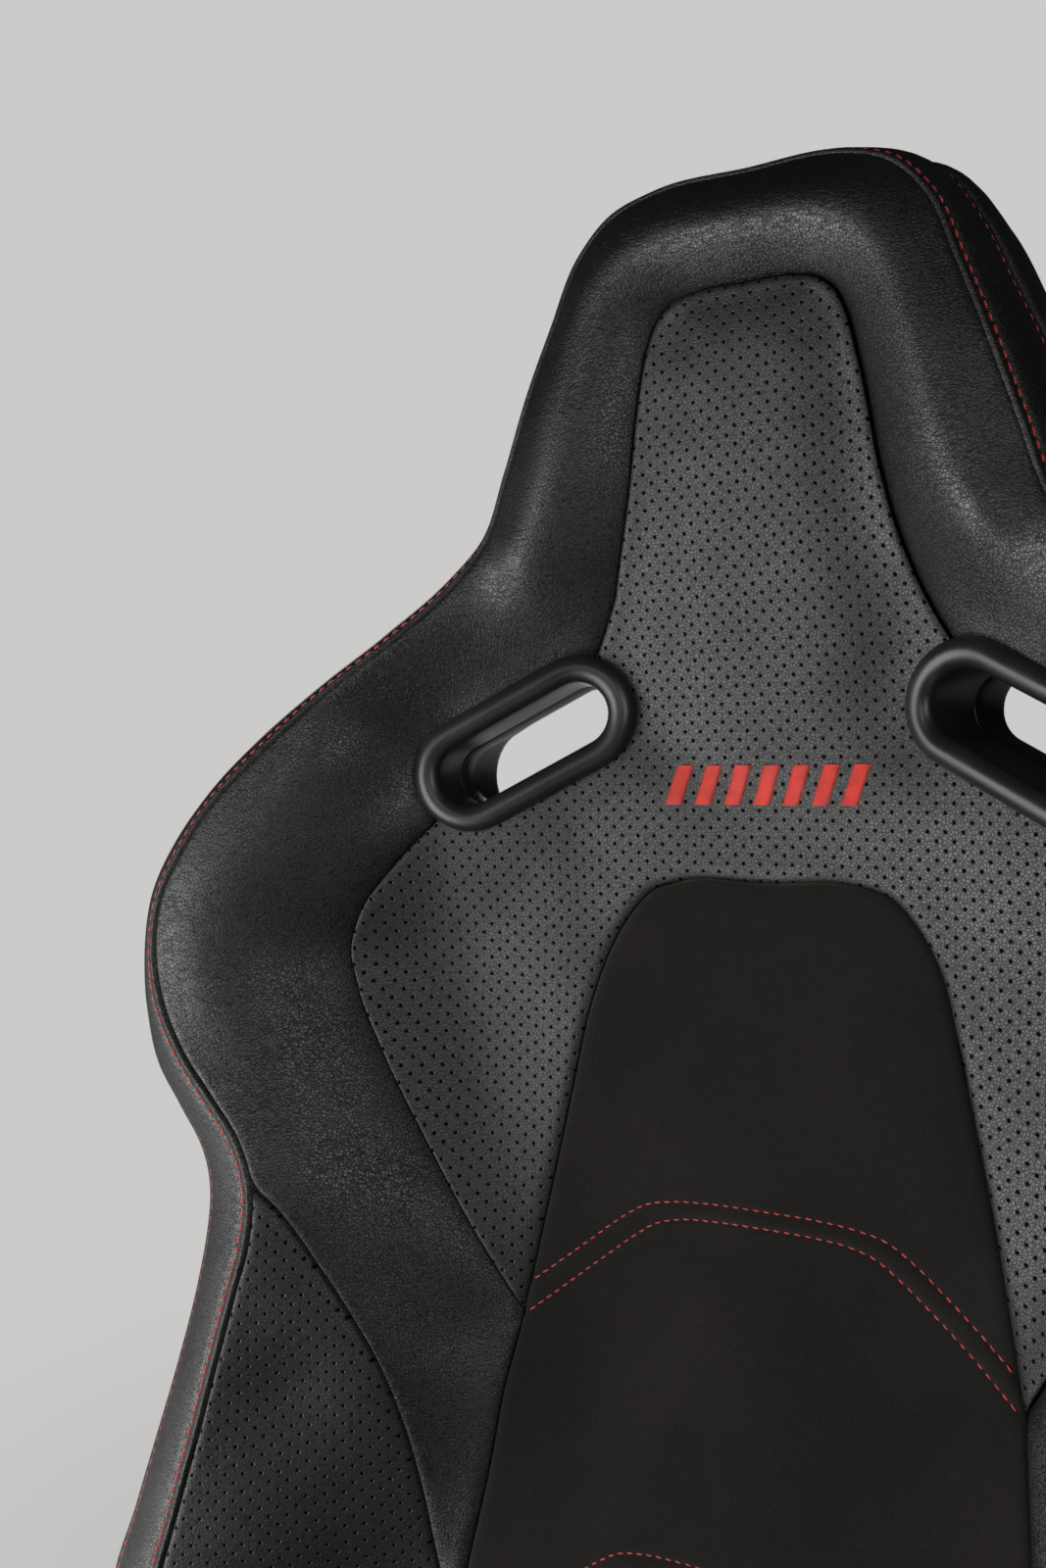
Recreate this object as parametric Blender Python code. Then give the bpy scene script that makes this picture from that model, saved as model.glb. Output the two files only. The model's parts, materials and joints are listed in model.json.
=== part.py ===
"""Reclining sport seat: upholstered backrest and cushion on a steel frame with recliners and slide rails.

World frame: metres, +Z up, the seat faces -Y, +X is the viewer's right when looking at its front.
Lengths in this file are millimetres and are scaled by MM when a mesh is made.

Two working frames are used.
  back frame  (x, z, d): z runs up the backrest from the recline axis, d is the depth in front of the
              yoke plane. The recline axis lies at d = PIVOT_DEPTH.
  base frame  (x, f, h): f runs forward from the recline axis and h up from it.
"""
import math

import bmesh
import bpy
import numpy as np
from mathutils import Vector
from mathutils.geometry import delaunay_2d_cdt

MM = 0.001

# ---------------------------------------------------------------- driving dimensions (mm, degrees)
PIVOT_HEIGHT = 175.0
PIVOT_SETBACK = 154.0
RECLINE_AT_REST = 15.0
PIVOT_DEPTH = -55.0
SEAM_GAP = 0.5
CLEARANCE = 0.3

PANEL_BACK = -14.0
CORE_BACK, CORE_FRONT = -44.0, -15.0
SHELL_FRONT, SHELL_EDGE, SHELL_DOME = -80.0, -84.0, -96.0
GUSSET_REAR = -78.0
BACK_BOTTOM = -15.0
BACK_CENTRE_HALF = 194.0

HOOP_RADIUS, HOOP_WALL, HOOP_DEPTH = 12.5, 2.0, -59.0
CROSS_RADIUS = 9.0

SLOT_CENTRE = (117.0, 539.0)
SLOT_DEPTH = 14.0
SLOT_INCLINE = 28.0
SLOT_TILT = 16.0
SLOT_HALF_STRAIGHT = 30.0
SLOT_RADIUS = 15.0
BEZEL_SECTION = 6.5
BEZEL_PARTING = -32.0
REAR_SLOT_SHIFT = 17.0
NECK_SPOT, SHOULDER_SPOT = (86, 581), (162, 503)

ARM_X = (196.0, 200.0)
WEB_X = (201.0, 204.0)
PLATE_X = (204.5, 208.5)
SPRING_X = (209.5, 215.0)
COVER_X = (212.0, 226.0, 229.0)
LEVER_X = (231.0, 243.0)
ROD_HALF = 241.0
SECTOR_ROOT, SECTOR_TIP, SECTOR_TEETH = 35.5, 38.5, 36
PIVOT_BOLT = 6.0
ROD_RADIUS = 5.0
ROD_AT = (50.0, -45.0)

RAIL_X = 175.0
RAIL_FRONT, RAIL_REAR = 455.0, -5.0
UPPER_RAIL_FRONT, UPPER_RAIL_REAR = 365.0, 95.0
CUSHION_REAR, CUSHION_FRONT = 70.0, 530.0
CUSHION_BOTTOM = -22.0
PAN_FLOOR = -62.7
PAN_GAUGE = 2.3
PAN_HALF = 196.0
FOAM_BOTTOM = -62.0
NOSE_SEAM = 450.0
BOLSTER_BREAK = 0.6
GRID_STEP = 26.0
SHELL_STEP = 36.0
PLATE_SMOOTHING = 20.0

MEMBER_INNER = 160.0
MEMBER_LOW, MEMBER_TOP, MEMBER_GAUGE = 37.5, 108.0, 3.0
MEMBER_ENDS = (440.0, 22.0)
BASE_TUBE_RADIUS, BASE_TUBE_BORE, BASE_TUBE_DROP = 10.0, 8.0, -76.0
BASE_TUBES = (("cross_tube_front", 415.0), ("cross_tube_rear", 105.0))
BACK_TUBES = (("back_cross_tube_lower", 70.0, 183.0), ("back_cross_tube_upper", 452.0, 213.0))
LUMBAR_ROWS = (("lumbar_spring_lower", 165.0), ("lumbar_spring_middle", 245.0), ("lumbar_spring_upper", 325.0))
LUMBAR_WIRE, LUMBAR_HALF, LUMBAR_WAVES, LUMBAR_SWING = 1.7, 168.0, 8, 17.0

PLATE_HUB = 44.0
PAWL_GAP = 0.6
PAWL_TOOTH = 2.2
LEVER_HUB = 16.0
COVER_HUB, COVER_WALL, COVER_BORE = 48.0, 3.0, 7.0

LATCH_FORWARD, LATCH_DROP = 275.0, -124.0
BAIL_RADIUS = 5.0
LATCH_SPAN = (144.0, 154.0)
SHOE_HALF, SHOE_INSET, CAP_LENGTH = 12.0, 15.0, 6.0
INSERT_HALF = 139.0
BOLSTER_HALF = 245.0

# ---------------------------------------------------------------- backrest lines (x, z, d), right half
PIPING = [
    (0, 786, 22), (44, 785, 22), (64, 777, 25), (79, 762, 26), (93, 730, 28), (105, 699, 30),
    (117, 665, 30), (129, 632, 32), (142, 614, 38), (167, 588, 52), (197, 563, 66), (222, 537, 80),
    (245, 510, 92), (257, 488, 99), (266, 468, 103), (269, 445, 105), (264, 416, 105), (252, 393, 104),
    (235, 372, 102), (222, 355, 100), (213, 333, 100), (212, 306, 104), (216, 287, 107), (222, 255, 113),
    (228, 222, 119), (236, 187, 124), (245, 146, 127), (249, 112, 101), (245, 88, 60), (230, 74, 34),
    (203, 70, 26),
]
OUTER_SEAM = [
    (0, 793, -15), (48, 792, -15), (76, 783, -15), (91, 763, -15), (108, 727, -15), (120, 700, -15),
    (131, 668, -14), (145, 635, -10), (163, 614, -2), (190, 589, 9), (217, 566, 22), (245, 540, 38),
    (267, 513, 50), (283, 488, 60), (292, 465, 66), (294, 443, 72), (292, 412, 82), (285, 386, 86),
    (269, 363, 86), (256, 346, 86), (250, 328, 86), (250, 303, 88), (253, 280, 91), (259, 246, 97),
    (266, 214, 103), (274, 178, 110), (284, 138, 115), (288, 105, 90), (281, 80, 50), (258, 67, 22),
    (207, 62, 8),
]
WAIST = 20
HEAD_PANEL = [
    (0, 737, 25), (22, 736.6, 25), (33, 734, 25), (40.5, 728, 25), (45.5, 718, 25), (49.5, 703, 24.5),
    (53.5, 683, 22.5), (58, 655, 20), (66.5, 620, 14), (71.5, 605, 9), (76.5, 594, 7),
]
YOKE_EDGE = [
    (178, 481, 36), (192, 458, 45), (197, 441, 46), (193, 421, 46), (181, 393, 44),
    (158, 346, 36), (137, 306, 28), (116.5, 268, 16),
]
INSERT_EDGE = [
    (110.5, 300, 12), (102, 343, 8), (93, 386, 6), (87, 413, 5), (77, 444, 0), (68, 459, -1),
    (56, 471, -2), (43, 475, -3), (0, 475, -5),
]
LOWER_INSERT_EDGE = [(121, 232, 28), (124, 197, 36), (131, 155, 43), (137, 120, 45)]
STRIP_SEAM = [
    (203.5, 323, 95), (195.5, 310, 89), (187.5, 295, 83), (179, 279, 77), (164, 247, 67), (156, 218, 59),
    (150, 185, 52), (145, 152, 47),
]
FOOT_EDGE = [(140, 90, 36), (140, 70, 25), (140, 50, 10), (140, 30, -4), (140, -15, -8)]
CREASES = [
    (0, 762, 38), (45, 760, 38), (70, 738, 39), (80, 700, 40), (90, 660, 40), (105, 625, 38),
    (195, 530, 64), (225, 482, 86), (235, 442, 92), (218, 395, 84), (190, 348, 74), (144, 256, 42),
    (198, 242, 90), (200, 190, 98), (202, 142, 94), (202, 105, 72), (193, 55, 12), (193, 30, -5),
    (193, -15, -8), (0, 700, 20), (0, 655, 14), (0, 600, 4), (0, 545, -3), (60, 520, 0), (117, 539, 14),
    (0, 420, -2), (0, 340, 2), (0, 268, 10), (0, 197, 28), (0, 145, 38), (0, 90, 31), (0, 70, 20),
    (0, 50, 6), (0, 30, -6), (0, -15, -8),
]

HOOP_PATH = [(183, 30, 0), (183, 350, 160), (213, 430, 70), (213, 530, 35), (118, 625, 60), (84, 752, 45)]
CUSHION_CREST = [(70, 12), (84, 15), (180, 25), (223, 50), (270, 75), (330, 80), (480, 70), (530, 60)]


# ---------------------------------------------------------------- scene and materials
def clear_scene():
    for obj in list(bpy.data.objects):
        bpy.data.objects.remove(obj, do_unlink=True)


def material(name, colour, roughness, metallic=0.0):
    mat = bpy.data.materials.new(name)
    mat.use_nodes = True
    shader = mat.node_tree.nodes["Principled BSDF"]
    shader.inputs["Base Color"].default_value = (*colour, 1.0)
    shader.inputs["Roughness"].default_value = roughness
    shader.inputs["Metallic"].default_value = metallic
    return mat


def make_materials():
    return {
        "leather": material("leather", (0.022, 0.021, 0.021), 0.42),
        "perforated": material("perforated", (0.045, 0.043, 0.042), 0.5),
        "suede": material("suede", (0.017, 0.015, 0.014), 0.95),
        "foam": material("foam", (0.55, 0.5, 0.32), 0.9),
        "plastic": material("plastic", (0.02, 0.02, 0.02), 0.4),
        "frame": material("frame", (0.03, 0.03, 0.032), 0.45, 0.3),
        "zinc": material("zinc", (0.6, 0.6, 0.58), 0.35, 1.0),
        "spring": material("spring", (0.12, 0.12, 0.12), 0.4, 1.0),
    }


def empty(name, location, tilt=0.0):
    node = bpy.data.objects.new(name, None)
    bpy.context.scene.collection.objects.link(node)
    node.location = [v * MM for v in location]
    node.rotation_euler = (math.radians(tilt), 0.0, 0.0)
    return node


# ---------------------------------------------------------------- placing points
def back_point(x, z, d):
    """Back frame to the backrest empty's own axes."""
    return (x, PIVOT_DEPTH - d, z)


def base_point(x, f, h):
    """Base frame to world."""
    return (x, PIVOT_SETBACK - f, PIVOT_HEIGHT + h)


def solid(name, verts, faces, mat, parent=None, smooth=30.0):
    """A closed mesh object, its faces turned outwards and split into smooth groups by angle."""
    mesh = bpy.data.meshes.new(name)
    mesh.from_pydata([Vector(v) * MM for v in verts], [], faces)
    work = bmesh.new()
    work.from_mesh(mesh)
    bmesh.ops.recalc_face_normals(work, faces=work.faces)
    bmesh.ops.triangulate(work, faces=[face for face in work.faces if len(face.verts) > 4])
    work.to_mesh(mesh)
    work.free()
    mesh.materials.append(mat)
    mesh.shade_smooth()
    mesh.set_sharp_from_angle(angle=math.radians(smooth))
    obj = bpy.data.objects.new(name, mesh)
    bpy.context.scene.collection.objects.link(obj)
    obj.parent = parent
    return obj


def cut(obj, name, verts, faces):
    """Subtract a hidden cutter from an object."""
    cutter = solid(name, verts, faces, obj.data.materials[0], obj.parent)
    cutter.hide_render = True
    cutter.display_type = "WIRE"
    modifier = obj.modifiers.new(name, "BOOLEAN")
    modifier.operation = "DIFFERENCE"
    modifier.object = cutter


# ---------------------------------------------------------------- plane outlines
def mirrored(points):
    """Left-hand copy of a run of points, in reverse order."""
    return [(-p[0], *p[1:]) for p in reversed(points)]


def flat(points):
    return [(p[0], p[1]) for p in points]


def circle(radius, count, centre=(0.0, 0.0), phase=0.0):
    turn = [phase + 2 * math.pi * i / count for i in range(count)]
    return [(centre[0] + radius * math.cos(a), centre[1] + radius * math.sin(a)) for a in turn]


def arc(radius, angles, centre=(0.0, 0.0)):
    """Points on a circle at angles in degrees."""
    return [(centre[0] + radius * math.cos(a), centre[1] + radius * math.sin(a)) for a in np.radians(angles)]


def signed_area(outline):
    pairs = zip(outline, outline[1:] + outline[:1])
    return 0.5 * sum(a[0] * b[1] - b[0] * a[1] for a, b in pairs)


def offset(outline, distance):
    """Outline moved outwards (positive) or inwards (negative) along its corner bisectors."""
    turn = 1.0 if signed_area(outline) > 0 else -1.0
    moved = []
    count = len(outline)
    for i, point in enumerate(outline):
        before = Vector(point) - Vector(outline[i - 1])
        after = Vector(outline[(i + 1) % count]) - Vector(point)
        before.normalize()
        after.normalize()
        normal = Vector((before.y + after.y, -before.x - after.x)) * turn
        stretch = max(0.5, normal.length_squared / 2.0)
        moved.append(tuple(Vector(point) + normal * (distance / stretch)))
    return moved


def inside(point, outline):
    x, y = point
    hit = False
    for (ax, ay), (bx, by) in zip(outline, outline[1:] + outline[:1]):
        if (ay > y) != (by > y) and x < (bx - ax) * (y - ay) / (by - ay) + ax:
            hit = not hit
    return hit


def fillet(path, steps=4):
    """Polyline (x, y, corner radius) with its corners rounded by arcs."""
    points = [path[0][:2]]
    for before, corner, after in zip(path, path[1:], path[2:]):
        here = Vector(corner[:2])
        back = (Vector(before[:2]) - here).normalized()
        ahead = (Vector(after[:2]) - here).normalized()
        half = back.angle(ahead) / 2
        reach = corner[2] / math.tan(half)
        centre = here + (back + ahead).normalized() * (corner[2] / math.sin(half))
        start = here + back * reach - centre
        end = here + ahead * reach - centre
        for i in range(steps + 1):
            mix = start.lerp(end, i / steps).normalized() * corner[2]
            points.append(tuple(centre + mix))
    points.append(path[-1][:2])
    return points


def stadium(radius, half, centre, incline, steps=8):
    """Round-ended slot outline; incline in degrees, positive lowers the +x end."""
    along = Vector((math.cos(math.radians(incline)), -math.sin(math.radians(incline))))
    up = Vector((-along.y, along.x))
    points = []
    for side in (1, -1):
        for i in range(steps + 1):
            turn = math.pi * (i / steps - 0.5)
            spoke = along * math.cos(turn) + up * math.sin(turn)
            points.append(tuple(Vector(centre) + side * (along * half + spoke * radius)))
    return points


# ---------------------------------------------------------------- height fields
def thin_plate(points):
    """Smooth surface d(x, z) through scattered (x, z, d) points."""
    data = np.array(points, float)
    count = len(data)

    def kernel(a, b):
        square = ((a[:, None, :2] - b[None, :, :2]) ** 2).sum(-1) + 1.0
        return 0.5 * square * np.log(square)

    system = np.zeros((count + 3, count + 3))
    system[:count, :count] = kernel(data, data) + np.eye(count) * PLATE_SMOOTHING
    system[:count, count:] = np.column_stack([np.ones(count), data[:, :2]])
    system[count:, :count] = system[:count, count:].T
    weights = np.linalg.solve(system, np.append(data[:, 2], [0, 0, 0]))

    def height(x, z):
        spot = np.array([[x, z]])
        bend = (kernel(spot, data) @ weights[:count])[0]
        return float(bend + weights[count] + weights[count + 1] * x + weights[count + 2] * z)

    return height


def back_surface():
    right = PIPING + HEAD_PANEL + YOKE_EDGE + INSERT_EDGE + LOWER_INSERT_EDGE + STRIP_SEAM + FOOT_EDGE
    right += CREASES
    return thin_plate(right + [(-x, z, d) for x, z, d in right if x > 0])


def table(value, rows):
    return float(np.interp(value, [r[0] for r in rows], [r[1] for r in rows]))


def cushion_surface(x, f):
    """Top of the cushion: a dished insert between two rising bolsters."""
    side = abs(x)
    rise = min(max((f - CUSHION_REAR) / 400.0, 0.0), 1.0)
    insert = 5.0 + 50.0 * rise * rise * (3 - 2 * rise) + 4.0 * min(side / INSERT_HALF, 1.0) ** 2
    if side <= INSERT_HALF:
        return insert
    crest = table(f, CUSHION_CREST)
    across = (side - INSERT_HALF) / (BOLSTER_HALF - INSERT_HALF)
    if across < BOLSTER_BREAK:
        blend = math.sin(across / BOLSTER_BREAK * math.pi / 2)
        return insert + (crest - insert) * blend
    return crest - 16.0 * ((across - BOLSTER_BREAK) / (1.0 - BOLSTER_BREAK)) ** 2


def fill(outline, holes=(), step=None, marks=()):
    """Triangles over an outline with holes; a step adds inner points on a grid, marks adds inner loops."""
    loops = [list(outline)] + [list(hole) for hole in holes]
    points = [tuple(p) for loop in loops for p in loop]
    edges = loop_edges(loops, 0)
    creases = loop_edges(marks, len(points))
    points += [tuple(p) for loop in marks for p in loop]
    if step:
        points += grid_inside(loops, step, points)
    spots = [Vector(p) for p in points]
    flat_points, _, faces, _, _, _ = delaunay_2d_cdt(spots, edges + creases, [], 0, 1e-4)
    faces = [face for face in faces if in_region(face, flat_points, loops)]
    return [tuple(p) for p in flat_points], faces, edges


def loop_edges(loops, start):
    edges = []
    for loop in loops:
        count = len(loop)
        edges += [(start + i, start + (i + 1) % count) for i in range(count)]
        start += count
    return edges


def grid_inside(loops, step, taken):
    keep_off = step * 0.45
    rim = np.array(taken)
    low, high = rim.min(axis=0), rim.max(axis=0)
    spots = []
    for x in np.arange(math.ceil(low[0] / step) * step, high[0], step):
        for y in np.arange(math.ceil(low[1] / step) * step, high[1], step):
            near = np.hypot(rim[:, 0] - x, rim[:, 1] - y).min()
            if near > keep_off and in_loops((x, y), loops):
                spots.append((float(x), float(y)))
    return spots


def in_loops(point, loops):
    return inside(point, loops[0]) and not any(inside(point, loop) for loop in loops[1:])


def in_region(face, points, loops):
    middle = [sum(points[i][k] for i in face) / len(face) for k in (0, 1)]
    return in_loops(middle, loops)


def block(name, outline, holes, front, rear, place, mat, parent=None, step=None, marks=()):
    """Solid between two surfaces over a plane outline. front and rear are functions of the plane point."""
    top, top_faces, edges = fill(outline, holes, step, marks)
    low, low_faces, _ = fill(outline, holes)
    verts = [place(p[0], p[1], front(*p)) for p in top]
    base = len(verts)
    verts += [place(p[0], p[1], rear(*p)) for p in low]
    faces = [list(face) for face in top_faces]
    faces += [[base + i for i in reversed(face)] for face in low_faces]
    faces += [[a, b, base + b, base + a] for a, b in edges]
    return solid(name, verts, faces, mat, parent)


def level(value):
    return lambda x, y: value


def plate(name, outline, holes, span, place, mat, parent=None):
    return block(name, outline, holes, level(span[0]), level(span[1]), place, mat, parent)


# ---------------------------------------------------------------- swept solids
def ring_faces(rows, count, closed_rows):
    faces = []
    for i in range(rows if closed_rows else rows - 1):
        for j in range(count):
            a = i * count + j
            b = i * count + (j + 1) % count
            c = ((i + 1) % rows) * count + (j + 1) % count
            d = ((i + 1) % rows) * count + j
            faces.append([a, b, c, d])
    return faces


def sweep(name, path, radius, sides, mat, parent=None, bore=0.0):
    """Round bar along a 3-D path; a bore leaves it open at both ends."""
    rows = []
    spine = [Vector(p) for p in path]
    side = None
    for i, point in enumerate(spine):
        ahead = spine[min(i + 1, len(spine) - 1)] - spine[max(i - 1, 0)]
        ahead.normalize()
        if side is None:
            side = ahead.orthogonal().normalized()
        side = (side - ahead * side.dot(ahead)).normalized()
        up = ahead.cross(side)
        rows.append((point, side.copy(), up))

    def skin(size):
        turn = [2 * math.pi * (j + 0.5) / sides for j in range(sides)]
        return [p + s * (size * math.cos(a)) + u * (size * math.sin(a)) for p, s, u in rows for a in turn]

    verts = skin(radius)
    faces = ring_faces(len(rows), sides, False)
    last = (len(rows) - 1) * sides
    if bore:
        shift = len(verts)
        verts += skin(bore)
        faces += [[shift + i for i in reversed(face)] for face in ring_faces(len(rows), sides, False)]
        for end in (0, last):
            for j in range(sides):
                k = (j + 1) % sides
                faces.append([end + j, end + k, shift + end + k, shift + end + j])
    else:
        faces += [list(range(sides)), [last + j for j in range(sides)]]
    return solid(name, verts, faces, mat, parent)


def turned(name, profile, place, mat, parent=None, count=20):
    """Solid of revolution about the lateral axis through a point; profile holds (x, radius)."""
    verts = []
    for x, radius in profile:
        verts += [place(x, u, v) for u, v in circle(radius, count)]
    faces = ring_faces(len(profile), count, False)
    last = (len(profile) - 1) * count
    faces += [list(range(count)), [last + j for j in range(count)]]
    return solid(name, verts, faces, mat, parent)


def strip(name, section, ends, mat, parent=None):
    """Straight section (x, z in the base frame's world) run along f between two ends."""
    points, faces, edges = fill(section)
    front = [base_point(x, ends[0], z - PIVOT_HEIGHT) for x, z in points]
    rear = [base_point(x, ends[1], z - PIVOT_HEIGHT) for x, z in points]
    base = len(points)
    skin = [list(face) for face in faces]
    skin += [[base + i for i in reversed(face)] for face in faces]
    skin += [[a, b, base + b, base + a] for a, b in edges]
    return solid(name, front + rear, skin, mat, parent)


# ---------------------------------------------------------------- harness slots
def slot_arc(upper):
    """The bezel's outside edge from the neck seam to the shoulder seam, over the top or underneath."""
    ring = stadium(SLOT_RADIUS + 2 * BEZEL_SECTION + 0.6, SLOT_HALF_STRAIGHT, SLOT_CENTRE, SLOT_INCLINE)
    neck = min(range(len(ring)), key=lambda i: math.dist(ring[i], NECK_SPOT))
    shoulder = min(range(len(ring)), key=lambda i: math.dist(ring[i], SHOULDER_SPOT))
    count = len(ring)
    if upper:
        run = range(neck, neck - count, -1)
    else:
        run = range(neck, neck + count)
    points = []
    for i in run:
        points.append(ring[i % count])
        if i % count == shoulder:
            break
    return points


def slot_ring(side, grow, depth, tilted):
    """One loop of bezel points, on the tilted slot axis or flat at a depth in the back frame."""
    shift = 0.0 if tilted else REAR_SLOT_SHIFT
    centre = (SLOT_CENTRE[0] + shift, SLOT_CENTRE[1])
    loop = stadium(SLOT_RADIUS + grow, SLOT_HALF_STRAIGHT, centre, SLOT_INCLINE)
    if not tilted:
        return [back_point(side * x, z, depth) for x, z in loop]
    lean = math.radians(SLOT_TILT)
    points = []
    for x, z in loop:
        across = x - centre[0]
        out = centre[0] + across * math.cos(lean) - depth * math.sin(lean)
        deep = SLOT_DEPTH + across * math.sin(lean) + depth * math.cos(lean)
        points.append(back_point(side * out, z, deep))
    return points


def bezel(name, side, section, mat, parent):
    rows = [slot_ring(side, *entry) for entry in section]
    verts = [p for row in rows for p in row]
    return solid(name, verts, ring_faces(len(rows), len(rows[0]), True), mat, parent)


def front_bezel_section():
    size = BEZEL_SECTION
    section = [(0.0, BEZEL_PARTING, True)]
    for i in range(9):
        turn = math.pi * i / 8
        section.append((size - size * math.cos(turn), size * math.sin(turn), True))
    section += [(11.0, -4.6, True), (size, -size, True), (2.2, -size, True), (2.2, BEZEL_PARTING, True)]
    return section


def rear_bezel_section():
    start = BEZEL_PARTING - CLEARANCE
    return [
        (0.0, start, True), (0.0, -54.0, True), (1.4, -59.0, True), (4.6, -61.5, True),
        (9.4, -66.0, False), (11.6, -73.5, False), (20.0, -79.5, False), (26.0, -86.6, False),
        (31.0, -87.0, False), (31.0, -84.4, False), (26.8, -84.4, False), (20.6, -77.0, False),
        (12.2, -71.0, False), (9.8, -60.0, False), (4.6, -59.0, True), (2.2, -55.0, True), (2.2, start, True),
    ]


# ---------------------------------------------------------------- backrest upholstery
def cover_panels(parts, mats, parent):
    surface = back_surface()
    ring_low = flat(PIPING[:WAIST + 1]) + flat(STRIP_SEAM) + flat(LOWER_INSERT_EDGE[::-1])
    yoke_edge = flat(YOKE_EDGE)
    upper = slot_arc(True)
    lower = slot_arc(False)
    head = flat(HEAD_PANEL)
    ring_half = ring_low + yoke_edge[::-1] + upper[::-1] + head[::-1]
    yoke_half = head + lower + yoke_edge + flat(INSERT_EDGE)
    insert_half = flat(INSERT_EDGE)[::-1] + yoke_edge[-1:] + flat(LOWER_INSERT_EDGE) + flat(FOOT_EDGE)
    ring = merge_halves(ring_half)
    yoke = merge_halves(yoke_half)
    insert = merge_halves(insert_half)
    foot = flat(FOOT_EDGE)[::-1]
    side = [(BACK_CENTRE_HALF, BACK_BOTTOM), (BACK_CENTRE_HALF, 69.0)] + flat(PIPING[:WAIST - 1:-1])
    side += flat(STRIP_SEAM) + flat(LOWER_INSERT_EDGE[-1:]) + foot[::-1]
    recipe = [
        ("leather_ring", ring, "leather"), ("yoke_panel", yoke, "perforated"),
        ("centre_insert", insert, "suede"), ("side_panel_right", side, "perforated"),
        ("side_panel_left", mirrored(side), "perforated"),
    ]
    for name, outline, slot in recipe:
        shape = offset(outline, -SEAM_GAP)
        parts[name] = block(name, shape, [], surface, level(PANEL_BACK), back_point, mats[slot], parent,
                            GRID_STEP)


def merge_halves(half):
    """Whole outline from its right half; a half may start, end or both on the centre line."""
    left = [(-x, z) for x, z in reversed(half) if x > 0]
    return half + left


def plan_normal(points, i):
    ahead = Vector(points[min(i + 1, len(points) - 1)][:2]) - Vector(points[max(i - 1, 0)][:2])
    ahead.normalize()
    return Vector((-ahead.y, ahead.x))


def gusset(name, mat, parent):
    """Side band: from the piping over the outer seam and back to the rear edge, open at the foot."""
    inner = mirrored(PIPING[1:]) + PIPING
    outer = mirrored(OUTER_SEAM[1:]) + OUTER_SEAM
    verts = []
    for i, (a, b) in enumerate(zip(inner, outer)):
        out_a = plan_normal(inner, i)
        out_b = plan_normal(outer, i)
        near = Vector(a[:2]) + out_a * 1.0
        seam = Vector(b[:2])
        bulge = near.lerp(seam, 0.4)
        rear = seam + out_b * 5.0
        lining = seam + out_b * 0.5
        swell = a[2] + (b[2] - a[2]) * 0.4 + 7.0
        section = [(near, a[2]), (bulge, swell), (seam, b[2]), (rear, (b[2] + GUSSET_REAR) / 2)]
        section += [(rear, GUSSET_REAR), (lining, GUSSET_REAR), (near, PANEL_BACK)]
        verts += [back_point(p.x, p.y, d) for p, d in section]
    count = 7
    faces = ring_faces(len(inner), count, False)
    last = (len(inner) - 1) * count
    faces += [list(range(count)), [last + j for j in range(count)]]
    return solid(name, verts, faces, mat, parent)


def back_outline(margin):
    """Outline of the stiff layers: the piping line, stepping in to the centre width near the foot."""
    right = flat(PIPING[:-1]) + [(BACK_CENTRE_HALF + margin, 71.0), (BACK_CENTRE_HALF + margin, BACK_BOTTOM)]
    return offset(merge_halves(right), -margin)


def shell_outline():
    rear = [tuple(Vector(p[:2]) + plan_normal(OUTER_SEAM, i) * 3.0) for i, p in enumerate(OUTER_SEAM)]
    right = [(0.0, rear[0][1])] + rear[1:-1]
    right += [(BACK_CENTRE_HALF, 60.0), (BACK_CENTRE_HALF, BACK_BOTTOM)]
    return merge_halves(right)


def shell_dome(outline, landings):
    """Depth of the shell's rear face: domed, and flat on the landings round the slots."""
    loop = np.array(outline + landings[0] + landings[1])

    def depth(x, z):
        if inside((abs(x), z), landings[0]):
            return SHELL_EDGE
        reach = min(float(np.hypot(loop[:, 0] - x, loop[:, 1] - z).min()) / 70.0, 1.0)
        return SHELL_EDGE + (SHELL_DOME - SHELL_EDGE) * reach * (2 - reach)

    return depth


def back_layers(parts, mats, parent):
    middle = (SLOT_CENTRE[0] + REAR_SLOT_SHIFT * 0.7, SLOT_CENTRE[1])
    tunnel = stadium(SLOT_RADIUS + 17.0, SLOT_HALF_STRAIGHT, middle, SLOT_INCLINE)
    holes = [tunnel, mirrored(tunnel)]
    outline = back_outline(2.0)
    parts["back_foam"] = plate("back_foam", outline, holes, (CORE_FRONT, CORE_BACK), back_point,
                               mats["foam"], parent)
    rear_centre = (SLOT_CENTRE[0] + REAR_SLOT_SHIFT, SLOT_CENTRE[1])
    opening = stadium(SLOT_RADIUS + 27.5, SLOT_HALF_STRAIGHT, rear_centre, SLOT_INCLINE)
    landing = stadium(SLOT_RADIUS + 34.0, SLOT_HALF_STRAIGHT, rear_centre, SLOT_INCLINE)
    outline = shell_outline()
    landings = [landing, mirrored(landing)]
    dome = shell_dome(outline, landings)
    holes = [opening, mirrored(opening)]
    parts["back_shell"] = block("back_shell", outline, holes, dome, level(SHELL_FRONT), back_point,
                                mats["plastic"], parent, SHELL_STEP, landings)


def harness_bezels(parts, mats, parent):
    for word, side in (("left", -1), ("right", 1)):
        front = f"bezel_front_{word}"
        rear = f"bezel_rear_{word}"
        parts[front] = bezel(front, side, front_bezel_section(), mats["plastic"], parent)
        parts[rear] = bezel(rear, side, rear_bezel_section(), mats["plastic"], parent)


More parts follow.
